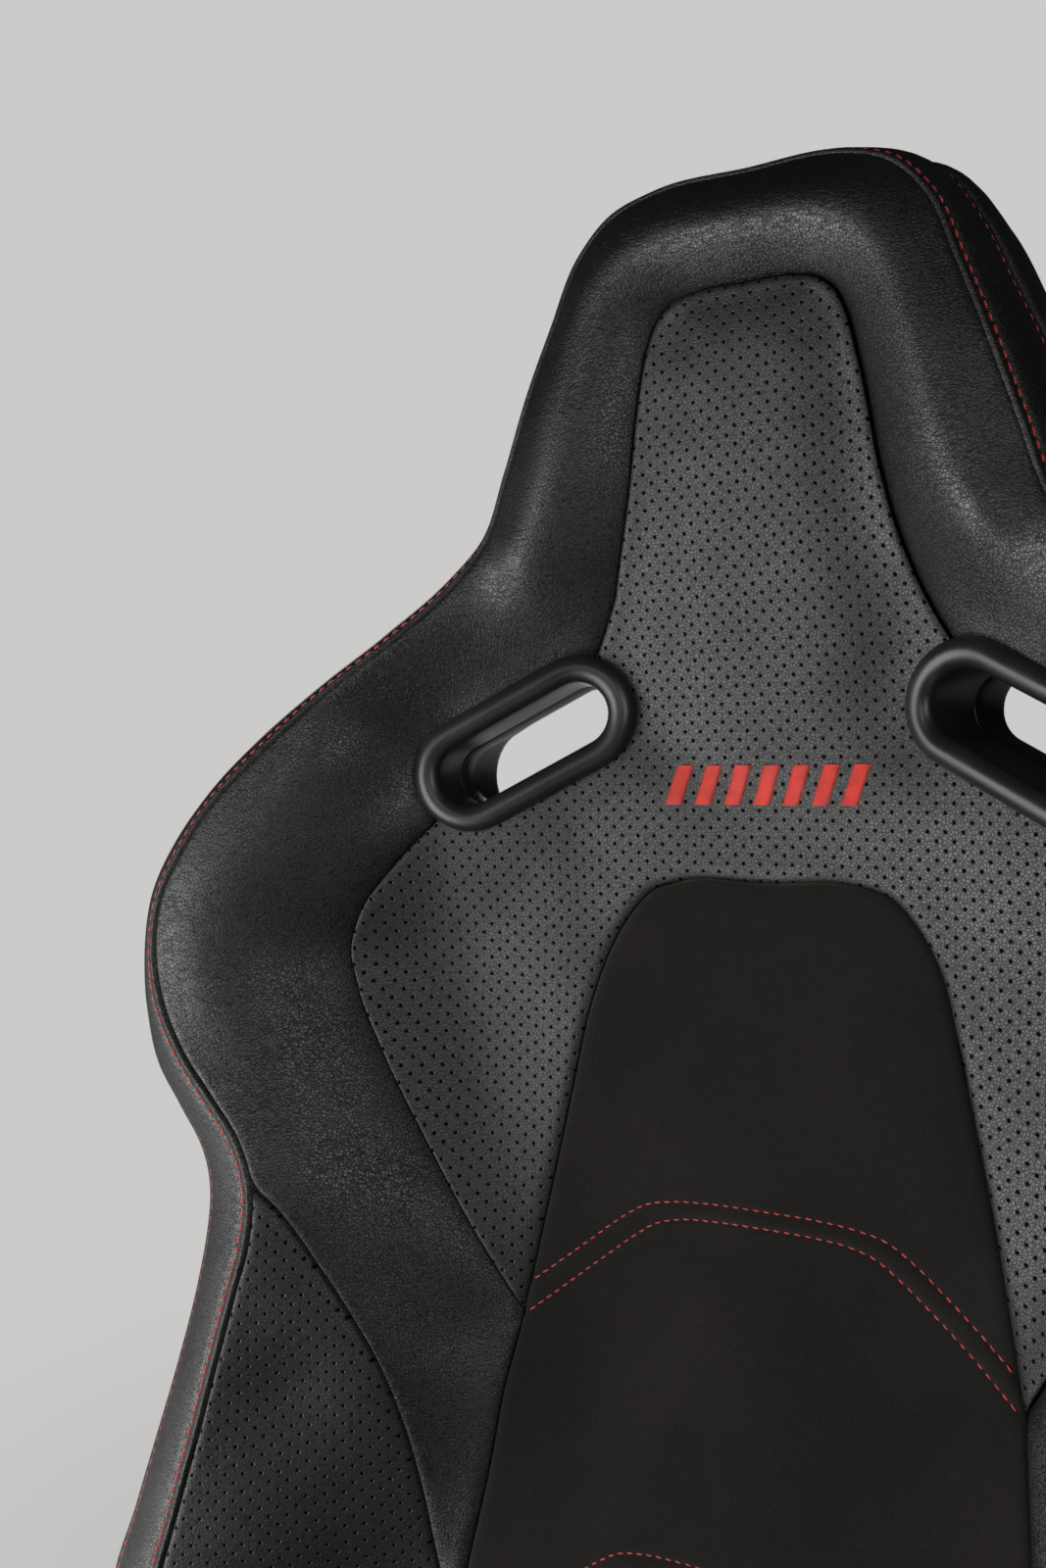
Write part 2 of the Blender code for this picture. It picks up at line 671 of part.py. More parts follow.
# ---------------------------------------------------------------- backrest frame
def back_frame(parts, mats, parent):
    whole = [(x, z, r) for x, z, r in HOOP_PATH]
    whole += [(-x, z, r) for x, z, r in reversed(HOOP_PATH)]
    path = [back_point(x, z, HOOP_DEPTH) for x, z in fillet(whole)]
    bore = HOOP_RADIUS - HOOP_WALL
    parts["back_hoop"] = sweep("back_hoop", path, HOOP_RADIUS, 10, mats["frame"], parent, bore)
    for name, z, half in BACK_TUBES:
        end = half - HOOP_RADIUS - CLEARANCE
        line = [back_point(-end, z, HOOP_DEPTH), back_point(end, z, HOOP_DEPTH)]
        parts[name] = sweep(name, line, CROSS_RADIUS, 12, mats["frame"], parent, CROSS_RADIUS - HOOP_WALL)
    for name, z in LUMBAR_ROWS:
        parts[name] = sweep(name, sinuous(z), LUMBAR_WIRE, 5, mats["spring"], parent)


def sinuous(z):
    """Zigzag wire across the hoop with rounded turns."""
    points = []
    count = LUMBAR_WAVES * 5
    for i in range(count + 1):
        phase = 2 * math.pi * LUMBAR_WAVES * i / count
        reach = min(1.0, 6.0 * min(i, count - i) / count)
        x = LUMBAR_HALF * (2 * i / count - 1)
        points.append(back_point(x, z + LUMBAR_SWING * reach * math.sin(phase), HOOP_DEPTH))
    return points


# ---------------------------------------------------------------- recliners
def sector_outline():
    """Toothed disc round the recline axis with a strap up the hoop, in (forward, up) of the back frame."""
    lower, upper = math.radians(-165), math.radians(-30)
    points = []
    for i in range(SECTOR_TEETH + 1):
        start = lower + (upper - lower) * i / SECTOR_TEETH
        pitch = (upper - lower) / SECTOR_TEETH
        points.append((SECTOR_ROOT * math.cos(start), SECTOR_ROOT * math.sin(start)))
        if i < SECTOR_TEETH:
            middle = start + pitch / 2
            points.append((SECTOR_TIP * math.cos(middle), SECTOR_TIP * math.sin(middle)))
    strap = [(9.0, 50.0), (9.0, 150.0), (-17.0, 150.0), (-17.0, 50.0)]
    return points + arc(SECTOR_ROOT, (-10, 10, 35, 60)) + strap + arc(SECTOR_ROOT, (130, 155, 180))


def recliner_arms(parts, mats, parent):
    bore = circle(PIVOT_BOLT + CLEARANCE, 20)
    for word, side in (("left", -1), ("right", 1)):
        name = f"recliner_arm_{word}"
        span = [side * x for x in ARM_X]
        parts[name] = plate(name, sector_outline(), [bore], span, axis_place, mats["zinc"], parent)


def axis_place(forward, up, x):
    """Side view to the axes of a moving body."""
    return (x, -forward, up)


def side_place(forward, up, x):
    """Side view to world, from the recline axis."""
    return base_point(x, forward, up)


def recliner_plate_outline():
    foot = [(-PLATE_HUB, -60.0), (-30.0, -112.0), (150.0, -112.0), (150.0, -72.0), (85.0, -60.0), (62.0, -30.0)]
    return arc(PLATE_HUB, range(0, 181, 15)) + foot


def recliner_base(parts, mats):
    pivot = circle(PIVOT_BOLT + CLEARANCE, 20)
    shaft = circle(ROD_RADIUS + 0.5, 16, ROD_AT)
    for word, side in (("left", -1), ("right", 1)):
        name = f"recliner_plate_{word}"
        span = [side * x for x in PLATE_X]
        parts[name] = plate(name, recliner_plate_outline(), [pivot, shaft], span, side_place, mats["zinc"])
        name = f"recliner_bolt_{word}"
        profile = [(186, 7.0), (187, 9.5), (195.4, 9.5), (195.4, PIVOT_BOLT), (219, PIVOT_BOLT), (220, 5.0)]
        profile = [(side * x, radius) for x, radius in profile]
        parts[name] = turned(name, profile, base_point, mats["zinc"])
        name = f"recliner_spring_{word}"
        parts[name] = clock_spring(name, side, mats["spring"])


def clock_spring(name, side, mat):
    """Flat strip wound in a spiral round the recliner bolt, its tail on the plate's rim."""
    turns, inner, pitch, thick = 3.0, 7.6, 7.6, 2.2
    count = 48
    verts = []
    for i in range(count + 1):
        turn = 2 * math.pi * turns * i / count
        near = inner + pitch * turn / (2 * math.pi)
        for radius, x in ((near, 0), (near, 1), (near + thick, 1), (near + thick, 0)):
            place = (side * SPRING_X[x], radius * math.cos(turn), radius * math.sin(turn))
            verts.append(base_point(*place))
    faces = ring_faces(count + 1, 4, False) + [[0, 1, 2, 3], [count * 4 + j for j in range(4)]]
    return solid(name, verts, faces, mat)


# ---------------------------------------------------------------- release levers and pawls
def pawl_outline():
    """Arm from the release rod back under the toothed sector, its tip concentric with the sector."""
    reach = SECTOR_TIP + PAWL_GAP
    tip = []
    for i in range(9):
        turn = math.radians(-112 + 24 * i / 8)
        size = reach + (0.0 if i % 2 else PAWL_TOOTH)
        tip.append((size * math.cos(turn), size * math.sin(turn)))
    hub = arc(12.0, (110, 70, 30, -10, -50, -90), ROD_AT)
    return [(-15.5, -50.0)] + tip + [(20.0, -41.5)] + hub + [(20.0, -55.5), (-8.0, -51.5)]


def lever_outline():
    """Hand lever: round hub on the rod, tapering forward and down to a rounded grip."""
    droop = -20.0
    along = Vector((math.cos(math.radians(droop)), math.sin(math.radians(droop))))
    up = Vector((-along.y, along.x))
    shape = [(14, 13), (60, 8), (95, 9), (112, 9), (122, 5), (125, 0), (122, -6), (110, -9),
             (80, -8), (55, -8), (25, -12)]
    points = [tuple(Vector(ROD_AT) + along * s + up * t) for s, t in shape]
    return points + arc(LEVER_HUB, [droop + a for a in (260, 230, 200, 170, 140, 110, 80)], ROD_AT)


def release_parts(parts, mats, parent):
    def local(forward, up, x):
        return (x, -(forward - ROD_AT[0]), up - ROD_AT[1])

    path = [(-ROD_HALF, 0, 0), (ROD_HALF, 0, 0)]
    parts["release_rod"] = sweep("release_rod", path, ROD_RADIUS, 16, mats["zinc"], parent)
    bore = circle(ROD_RADIUS + 0.4, 16, ROD_AT)
    for word, side in (("left", -1), ("right", 1)):
        name = f"pawl_{word}"
        span = [side * x for x in ARM_X]
        parts[name] = plate(name, pawl_outline(), [bore], span, local, mats["zinc"], parent)
        name = f"recline_lever_{word}"
        span = [side * x for x in LEVER_X]
        parts[name] = plate(name, lever_outline(), [bore], span, local, mats["plastic"], parent)


# ---------------------------------------------------------------- seat base
def base_frame(parts, mats):
    for word, side in (("left", -1), ("right", 1)):
        name = f"side_member_{word}"
        web_in, web_out = WEB_X
        flange = MEMBER_LOW + MEMBER_GAUGE
        section = [
            (MEMBER_INNER, MEMBER_LOW), (web_out, MEMBER_LOW), (web_out, MEMBER_TOP), (web_in, MEMBER_TOP),
            (web_in, flange), (MEMBER_INNER, flange),
        ]
        section = [(side * x, z) for x, z in section]
        parts[name] = strip(name, section, MEMBER_ENDS, mats["frame"])
    end = WEB_X[0] - CLEARANCE
    for name, f in BASE_TUBES:
        line = [base_point(-end, f, BASE_TUBE_DROP), base_point(end, f, BASE_TUBE_DROP)]
        parts[name] = sweep(name, line, BASE_TUBE_RADIUS, 12, mats["frame"], None, BASE_TUBE_BORE)


def seat_pan(parts, mats):
    """Pressed pan: a flat floor with a turned-up front lip, resting on the cross tubes."""
    under = PAN_FLOOR - PAN_GAUGE
    profile = [(72, PAN_FLOOR), (470, PAN_FLOOR), (500, -37), (502.5, -38.5), (471.5, under), (72, under)]
    parts["seat_pan"] = plate("seat_pan", profile, [], (-PAN_HALF, PAN_HALF), side_place, mats["frame"])


def bolster_outline():
    return [
        (INSERT_HALF, 84), (170, 82), (215, 88), (238, 98), (BOLSTER_HALF, 125), (BOLSTER_HALF, 420),
        (240, 465), (222, 497), (190, 510), (INSERT_HALF, 512),
    ]


def cushion(parts, mats):
    foam = [(-188, 70), (188, 70), (188, 468), (-188, 468)]
    parts["cushion_foam"] = plate("cushion_foam", foam, [], (CUSHION_BOTTOM - 1.0, FOAM_BOTTOM), base_point,
                                  mats["foam"])
    insert = [(-INSERT_HALF, CUSHION_REAR), (INSERT_HALF, CUSHION_REAR), (INSERT_HALF, NOSE_SEAM),
              (-INSERT_HALF, NOSE_SEAM)]
    nose = [(-INSERT_HALF, NOSE_SEAM), (INSERT_HALF, NOSE_SEAM), (INSERT_HALF, 505), (110, 522),
            (60, CUSHION_FRONT), (-60, CUSHION_FRONT), (-110, 522), (-INSERT_HALF, 505)]
    bolster = bolster_outline()
    recipe = [
        ("cushion_insert", insert, "suede", cushion_surface),
        ("cushion_nose", nose, "leather", nose_surface),
        ("cushion_bolster_right", bolster, "leather", bolster_surface),
        ("cushion_bolster_left", mirrored(bolster), "leather", bolster_surface),
    ]
    for name, outline, slot, surface in recipe:
        shape = offset(outline, -SEAM_GAP)
        parts[name] = block(name, shape, [], surface, level(CUSHION_BOTTOM), base_point, mats[slot], None,
                            GRID_STEP)


def nose_surface(x, f):
    start = NOSE_SEAM + 5.0
    drop = max(0.0, (f - start) / (CUSHION_FRONT - start))
    return cushion_surface(x, start) - 40.0 * drop ** 2.2


def bolster_surface(x, f):
    """The bolster's crown, rounded down towards its front end."""
    drop = max(0.0, (f - NOSE_SEAM) / 62.0)
    return cushion_surface(x, f) - 44.0 * min(drop, 1.0) ** 2.2


def side_cover_outline():
    return arc(COVER_HUB, range(35, 181, 16)) + [
        (-COVER_HUB, -55), (-38, -100), (-20, -112), (400, -112), (425, -104), (436, -85), (432, -48),
        (415, -29), (390, -26), (80, -26), (58, -18), (46, 2),
    ]


def side_covers(parts, mats):
    outline = side_cover_outline()
    lining = offset(outline, -COVER_WALL)
    rim_x, inner_x, outer_x = COVER_X
    for word, side in (("left", -1), ("right", 1)):
        name = f"side_cover_{word}"
        _, faces, edges = fill(outline)
        count = len(outline)
        layers = [(outline, rim_x), (outline, outer_x), (lining, inner_x), (lining, rim_x)]
        verts = [base_point(side * x, *p) for loop, x in layers for p in loop]
        skin = [[layer * count + i for i in face] for layer in (1, 2) for face in faces]
        for layer in range(4):
            for a, b in edges:
                low, high = layer * count, ((layer + 1) % 4) * count
                if layer != 1:
                    skin.append([low + a, low + b, high + b, high + a])
        cover = solid(name, verts, skin, mats["plastic"])
        rim = circle(COVER_BORE, 20, ROD_AT)
        bore = [base_point(side * x, *p) for x in (inner_x - 4, outer_x + 4) for p in rim]
        walls = ring_faces(2, 20, False) + [list(range(20)), list(range(20, 40))]
        cut(cover, f"rod_bore_{word}", bore, walls)
        parts[name] = cover


# ---------------------------------------------------------------- rails and slide latch
def rails(parts, mats):
    channel = [
        (-17, 0), (17, 0), (17, 20), (6, 20), (6, 18), (15, 18), (15, 2), (-15, 2), (-15, 18), (-6, 18),
        (-6, 20), (-17, 20),
    ]
    slider = [
        (-12, 8), (12, 8), (12, 11), (3, 11), (3, 34), (14, 34), (14, 37), (-14, 37), (-14, 34), (-3, 34),
        (-3, 11), (-12, 11),
    ]
    shoe = [(-13, 2.4), (13, 2.4), (13, 7.6), (-13, 7.6)]
    cap = [(-17, 0), (17, 0), (17, 20), (-17, 20)]
    for word, side in (("left", -1), ("right", 1)):
        def at(section):
            return [(side * RAIL_X + x, z) for x, z in section]

        name = f"rail_lower_{word}"
        parts[name] = strip(name, at(channel), (RAIL_FRONT, RAIL_REAR), mats["zinc"])
        name = f"rail_upper_{word}"
        parts[name] = strip(name, at(slider), (UPPER_RAIL_FRONT, UPPER_RAIL_REAR), mats["zinc"])
        for spot, f in (("front", UPPER_RAIL_FRONT - SHOE_INSET), ("rear", UPPER_RAIL_REAR + SHOE_INSET)):
            name = f"glide_shoe_{spot}_{word}"
            parts[name] = strip(name, at(shoe), (f + SHOE_HALF, f - SHOE_HALF), mats["plastic"])
        for spot, f in (("front", RAIL_FRONT + CLEARANCE), ("rear", RAIL_REAR - CLEARANCE - CAP_LENGTH)):
            name = f"rail_cap_{spot}_{word}"
            parts[name] = strip(name, at(cap), (f + CAP_LENGTH, f), mats["plastic"])


def slide_latch(parts, mats, parent):
    """Front bail whose side arms carry the latch plates that drop into the lower rails."""
    bail = [(-148, -16, 0), (-148, -262, 22), (148, -262, 22), (148, -16, 0)]
    path = [(x, y, 0.0) for x, y in fillet(bail)]
    parts["slide_bail"] = sweep("slide_bail", path, BAIL_RADIUS, 10, mats["frame"], parent)
    profile = [
        (-15, 8), (15, 8), (15, -8), (12, -26), (8, -26), (7, -10), (2, -10), (1, -26), (-3, -26), (-4, -10),
        (-9, -10), (-10, -26), (-14, -26), (-15, -8),
    ]
    for word, side in (("left", -1), ("right", 1)):
        name = f"slide_latch_{word}"
        span = [side * x for x in LATCH_SPAN]
        parts[name] = plate(name, profile, [], span, axis_place, mats["zinc"], parent)


# ---------------------------------------------------------------- assembly
def build():
    clear_scene()
    mats = make_materials()
    parts = {}
    back = empty("recline_axis", base_point(0, 0, 0), -RECLINE_AT_REST)
    release = empty("release_axis", base_point(0, *ROD_AT))
    latch = empty("latch_axis", base_point(0, LATCH_FORWARD, LATCH_DROP))
    cover_panels(parts, mats, back)
    parts["side_gusset"] = gusset("side_gusset", mats["leather"], back)
    back_layers(parts, mats, back)
    harness_bezels(parts, mats, back)
    back_frame(parts, mats, back)
    recliner_arms(parts, mats, back)
    recliner_base(parts, mats)
    release_parts(parts, mats, release)
    base_frame(parts, mats)
    seat_pan(parts, mats)
    cushion(parts, mats)
    side_covers(parts, mats)
    rails(parts, mats)
    slide_latch(parts, mats, latch)


build()
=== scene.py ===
"""Looks of the reclining sport seat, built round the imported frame.

Lengths are millimetres in two working frames, both hung on the recline joint, and become metres in make_mesh.
  back frame  (x, z, d): z up the backrest, d in front of the yoke plane
  seat frame  (x, f, h): f forward of the recline axis, h above it
"""

import json
import math

import bmesh
import bpy
import numpy as np
from mathutils import Matrix, Vector
from mathutils.geometry import delaunay_2d_cdt


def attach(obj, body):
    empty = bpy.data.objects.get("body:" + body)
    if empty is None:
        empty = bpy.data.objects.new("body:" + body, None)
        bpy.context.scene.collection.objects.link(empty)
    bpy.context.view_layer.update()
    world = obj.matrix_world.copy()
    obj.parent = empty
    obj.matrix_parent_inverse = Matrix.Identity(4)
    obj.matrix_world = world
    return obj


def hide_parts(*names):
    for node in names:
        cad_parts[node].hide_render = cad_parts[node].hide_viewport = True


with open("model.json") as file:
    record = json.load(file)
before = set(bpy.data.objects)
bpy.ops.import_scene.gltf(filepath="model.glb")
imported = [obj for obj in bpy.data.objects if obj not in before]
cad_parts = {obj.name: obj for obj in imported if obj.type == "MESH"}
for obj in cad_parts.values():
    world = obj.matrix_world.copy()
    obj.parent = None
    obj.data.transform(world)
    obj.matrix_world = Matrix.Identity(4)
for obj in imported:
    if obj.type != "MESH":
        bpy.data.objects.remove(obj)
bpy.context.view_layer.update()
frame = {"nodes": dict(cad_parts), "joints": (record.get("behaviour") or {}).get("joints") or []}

MM = 0.001
JOINTS = {joint["name"]: joint for joint in frame["joints"]}
PIVOT = np.array(JOINTS["backrest_recline"]["pos_m"]) / MM
RECLINE = math.radians(15.0)
PIVOT_DEPTH = -55.0
SIDE = np.array((1.0, 0.0, 0.0))
UP = np.array((0.0, math.sin(RECLINE), math.cos(RECLINE)))
FRONT = np.array((0.0, -math.cos(RECLINE), math.sin(RECLINE)))
BACK, SEAT = "backrest", "seat_base"

# ---------------------------------------------------------------- seams of the backrest (x, z, d), right half
PIPING = [
    (0, 786, 22), (44, 785, 22), (64, 777, 25), (79, 762, 26), (93, 730, 28), (105, 699, 30),
    (117, 665, 30), (129, 632, 32), (142, 614, 38), (167, 588, 52), (197, 563, 66), (222, 537, 80),
    (245, 510, 92), (257, 488, 99), (266, 468, 103), (269, 445, 105), (264, 416, 105), (252, 393, 104),
    (235, 372, 102), (222, 355, 100), (213, 333, 100), (212, 306, 104), (216, 287, 107), (222, 255, 113),
    (228, 222, 119), (236, 187, 124), (245, 146, 127), (249, 112, 101), (245, 88, 60), (230, 74, 34),
    (203, 70, 26),
]
OUTER_SEAM = [
    (0, 793, -15), (48, 792, -15), (76, 783, -15), (91, 763, -15), (108, 727, -15), (120, 700, -15),
    (131, 668, -14), (145, 635, -10), (163, 614, -2), (190, 589, 9), (217, 566, 22), (245, 540, 38),
    (267, 513, 50), (283, 488, 60), (292, 465, 66), (294, 443, 72), (292, 412, 82), (285, 386, 86),
    (269, 363, 86), (256, 346, 86), (250, 328, 86), (250, 303, 88), (253, 280, 91), (259, 246, 97),
    (266, 214, 103), (274, 178, 110), (284, 138, 115), (288, 105, 90), (281, 80, 50), (258, 67, 22),
    (207, 62, 8),
]
WAIST = 20
HEAD_PANEL = [
    (0, 737, 25), (22, 736.6, 25), (33, 734, 25), (40.5, 728, 25), (45.5, 718, 25), (49.5, 703, 24.5),
    (53.5, 683, 22.5), (58, 655, 20), (66.5, 620, 14), (71.5, 605, 9), (76.5, 594, 7),
]
YOKE_EDGE = [
    (178, 481, 36), (192, 458, 45), (197, 441, 46), (193, 421, 46), (181, 393, 44),
    (158, 346, 36), (137, 306, 28), (116.5, 268, 16),
]
INSERT_EDGE = [
    (110.5, 300, 12), (102, 343, 8), (93, 386, 6), (87, 413, 5), (77, 444, 0), (68, 459, -1),
    (56, 471, -2), (43, 475, -3), (0, 475, -5),
]
LOWER_INSERT_EDGE = [(121, 232, 28), (124, 197, 36), (131, 155, 43), (137, 120, 45)]
STRIP_SEAM = [
    (203.5, 323, 95), (195.5, 310, 89), (187.5, 295, 83), (179, 279, 77), (164, 247, 67),
    (156, 218, 59), (150, 185, 52), (145, 152, 47),
]
FOOT_EDGE = [(140, 90, 36), (140, 70, 25), (140, 50, 10), (140, 30, -4), (140, -15, -8)]
HEAD_CREST = [(0, 758, 39), (42, 757, 39), (66, 738, 39.5), (77, 700, 40), (88, 660, 40), (104, 625, 39)]
SHOULDER_CREST = [
    (195, 530, 64), (225, 482, 86), (235, 442, 92), (218, 395, 84), (190, 348, 74), (144, 256, 42),
]
SIDE_CREST = [(198, 242, 90), (200, 190, 98), (202, 142, 94), (202, 105, 72)]
SPOTS = [
    (193, 55, 12), (193, 30, -5), (193, -15, -8), (0, 545, -0.5), (40, 550, -0.8),
    (60, 520, 0), (0, 420, -2), (0, 340, 2), (0, 268, 10), (0, 197, 28), (0, 145, 38), (0, 90, 31),
    (0, 70, 20), (0, 50, 6), (0, 30, -6), (0, -15, -8),
]
FOOT_CORNER = [(194, -15, -8), (194, 69, 20)]
FOOT_HALF, FOOT_END = 194, -15
PANEL_REAR, GUSSET_REAR = -14.0, -78.0
SHELL_EDGE, SHELL_DOME = -84.0, -96.0

SLOT_CENTRE = (117.0, 539.0)
SLOT_DEPTH = 14.0
SLOT_INCLINE = 28.0
SLOT_TILT = math.radians(16.0)
SLOT_HALF, SLOT_RADIUS = 30.0, 15.0
BEZEL, BEZEL_SINK = 6.5, 1.5
NECK_SPOT, SHOULDER_SPOT = (86, 581), (162, 503)
REAR_SHIFT = 17.0

CUSHION_REAR, CUSHION_FRONT = 70.0, 530.0
NOSE_SEAM = 450.0
CUSHION_BOTTOM = -22.0
INSERT_HALF, BOLSTER_HALF = 139.0, 245.0
CUSHION_CREST = [(70, 12), (84, 15), (180, 25), (223, 50), (270, 75), (330, 80), (480, 70), (530, 60)]
BOLSTER_OUTLINE = [
    (INSERT_HALF, 84), (170, 82), (215, 88), (238, 98), (BOLSTER_HALF, 125), (BOLSTER_HALF, 420),
    (240, 465), (222, 497), (190, 510), (INSERT_HALF, 512),
]


# ---------------------------------------------------------------- placing points
def back_world(x, z, d):
    x, z, d = (np.asarray(v, float)[..., None] for v in (x, z, d))
    return PIVOT + x * SIDE + z * UP + (d - PIVOT_DEPTH) * FRONT


def seat_world(x, f, h):
    x, f, h = np.broadcast_arrays(*(np.asarray(v, float) for v in (x, f, h)))
    return np.stack([x, PIVOT[1] - f, PIVOT[2] + h], -1)


# ---------------------------------------------------------------- curves
def mirrored(points):
    return [(-p[0], *p[1:]) for p in reversed(points)]


def whole(half):
    """Both sides of a run that starts on the centre line, left end first."""
    return mirrored(half[1:]) + list(half)


def plan(points):
    return [tuple(p[:2]) for p in points]


def flip(run):
    return run * np.array((-1.0, 1.0))


def chords(points):
    steps = np.linalg.norm(np.diff(np.asarray(points, float), axis=0), axis=1)
    return np.concatenate([[0.0], np.cumsum(steps)])


def hermite(s, start, end, leave, arrive):
    """Cubic blend from start to end that leaves and arrives along the given tangents."""
    first = (2 * s ** 3 - 3 * s ** 2 + 1) * start + (s ** 3 - 2 * s ** 2 + s) * leave
    return first + (3 * s ** 2 - 2 * s ** 3) * end + (s ** 3 - s ** 2) * arrive


def spline_at(points, knots, at):
    """Smooth curve through points at the given knot values."""
    gap = np.diff(knots)[:, None]
    slope = np.diff(points, axis=0) / gap
    tangent = np.empty_like(points)
    tangent[0], tangent[-1] = slope[0], slope[-1]
    tangent[1:-1] = (slope[:-1] * gap[1:] + slope[1:] * gap[:-1]) / (gap[1:] + gap[:-1])
    i = np.clip(np.searchsorted(knots, at, side="right") - 1, 0, len(gap) - 1)
    s = ((at - knots[i]) / gap[i, 0])[:, None]
    return hermite(s, points[i], points[i + 1], gap[i] * tangent[i], gap[i] * tangent[i + 1])


class Curve:
    """Smooth curve through points, sampled between any two of them."""

    def __init__(self, points, step=3.6):
        self.points = np.array(points, float)
        self.knots = chords(self.points)
        self.step = step

    def run(self, first=0, last=-1, step=None):
        a, b = self.knots[first], self.knots[last]
        count = max(2, int(round(abs(b - a) / (step or self.step))) + 1)
        return spline_at(self.points, self.knots, np.linspace(a, b, count))


def straight(points, step=4.0):
    """Resampled polyline that keeps its corners."""
    points = np.asarray(points, float)
    rows = [points[:1]]
    for a, b in zip(points[:-1], points[1:]):
        count = max(1, int(round(np.linalg.norm(b - a) / step)))
        rows.append(a + (b - a) * (np.arange(1, count + 1) / count)[:, None])
    return np.concatenate(rows)


def join(*runs):
    """Closed outline from runs laid end to end, without the repeated ends."""
    outline = []
    for run in runs:
        for point in np.asarray(run)[:, :2].tolist():
            if not outline or math.dist(outline[-1], point) > 0.05:
                outline.append(point)
    if math.dist(outline[0], outline[-1]) < 0.05:
        outline.pop()
    return np.array(outline)


def closed(outline):
    return np.vstack([outline, outline[:1]])


def boundary(corners):
    """Resampled outline of a shape given by its corners."""
    return straight(closed(np.array(corners, float)))[:-1]


def foot_run(run, top, step=4.0):
    """Carries an open outline of the backrest down its sides from a height and across its foot."""
    low = [(FOOT_HALF, top), (FOOT_HALF, FOOT_END), (-FOOT_HALF, FOOT_END), (-FOOT_HALF, top)]
    return join(run, straight([run[-1], *low, run[0]], step))


# ---------------------------------------------------------------- height fields
def plate_kernel(a, b):
    square = ((a[:, None, :] - b[None, :, :]) ** 2).sum(-1) + 1.0
    return 0.5 * square * np.log(square)


def thin_plate(points, smoothing=20.0):
    """Height function of the smoothest sheet near the points."""
    data = np.array(points, float)
    count = len(data)
    system = np.zeros((count + 3, count + 3))
    system[:count, :count] = plate_kernel(data[:, :2], data[:, :2]) + np.eye(count) * smoothing
    system[:count, count:] = np.column_stack([np.ones(count), data[:, :2]])
    system[count:, :count] = system[:count, count:].T
    weights = np.linalg.solve(system, np.append(data[:, 2], [0, 0, 0]))

    def height(x, z):
        spots = np.column_stack([np.ravel(x), np.ravel(z)]).astype(float)
        bend = [plate_kernel(spots[part], data[:, :2]) @ weights[:count] for part in chunks(len(spots))]
        return np.concatenate(bend) + weights[count] + spots @ weights[count + 1:]

    return height


def slot_loop(grow, arc=14, shift=0.0):
    """Plan outline of the right harness opening grown by an offset, anticlockwise from its lower side."""
    turn = math.radians(SLOT_INCLINE)
    along = np.array((math.cos(turn), -math.sin(turn)))
    up = np.array((-along[1], along[0]))
    centre = np.array(SLOT_CENTRE) + (shift, 0.0)
    points = []
    for side in (1, -1):
        for i in range(arc + 1):
            spin = math.pi * (i / arc - 0.5)
            spoke = along * math.cos(spin) + up * math.sin(spin)
            points.append(centre + side * (along * SLOT_HALF + spoke * (SLOT_RADIUS + grow)))
    return np.array(points)


def slot_plane(x):
    return SLOT_DEPTH + (abs(x) - SLOT_CENTRE[0]) * math.tan(SLOT_TILT)


PANEL_SPOTS = [
    (0, 726, 25.6), (22, 725, 25.6), (0, 700, 24.8), (25, 700, 24.6), (0, 670, 22), (28, 670, 21.6),
    (0, 640, 18), (30, 640, 17.4), (0, 610, 12), (36, 610, 11.2), (0, 580, 5.5), (40, 580, 4.6),
]


def back_surface():
    """Depth of the padded front over the plan, through its seams, its crests and the slots' plane."""
    right = [tuple(p) for p in PIPE.run(PIPE_MIDDLE, -1, 14.0)]
    for line in (HEAD_PANEL, YOKE_EDGE, INSERT_EDGE, LOWER_INSERT_EDGE + FOOT_EDGE, STRIP_SEAM, HEAD_CREST,
                 SHOULDER_CREST, SIDE_CREST):
        right += [tuple(p) for p in Curve(line).run(step=14.0)]
    right += SPOTS + PANEL_SPOTS
    for grow, arc in ((10.0, 5), (-6.0, 3)):
        right += [(x, z, slot_plane(x) - BEZEL_SINK) for x, z in slot_loop(grow, arc)]
    return thin_plate(right + [(-x, z, d) for x, z, d in right if x > 0])


def cushion_surface(x, f):
    """Top of the cushion: a dished insert between two rising bolsters, rolled down at the front."""
    rear, climb, dish, crown, shoulder, nose_drop, nose_run = 5.0, 50.0, 4.0, 0.6, 7.0, 34.0, 62.0
    x, f = np.abs(np.asarray(x, float)), np.asarray(f, float)
    rise = np.clip((f - CUSHION_REAR) / 400.0, 0.0, 1.0)
    insert = rear + climb * rise * rise * (3 - 2 * rise) + dish * np.minimum(x / INSERT_HALF, 1.0) ** 2
    crest = np.interp(f, *zip(*CUSHION_CREST))
    across = np.clip((x - INSERT_HALF) / (BOLSTER_HALF - INSERT_HALF), 0.0, 1.0)
    bolster = insert + (crest - insert) * np.sin(np.minimum(across / crown, 1.0) * math.pi / 2)
    bolster = bolster - shoulder * np.clip((across - crown) / (1.0 - crown), 0.0, 1.0) ** 2
    drop = np.clip((f - NOSE_SEAM - 5.0) / (CUSHION_FRONT - NOSE_SEAM - 5.0), 0.0, 1.2)
    side_drop = np.clip((f - NOSE_SEAM) / nose_run, 0.0, 1.0)
    middle = x <= INSERT_HALF
    return np.where(middle, insert, bolster) - nose_drop * np.where(middle, drop, side_drop) ** 2.2


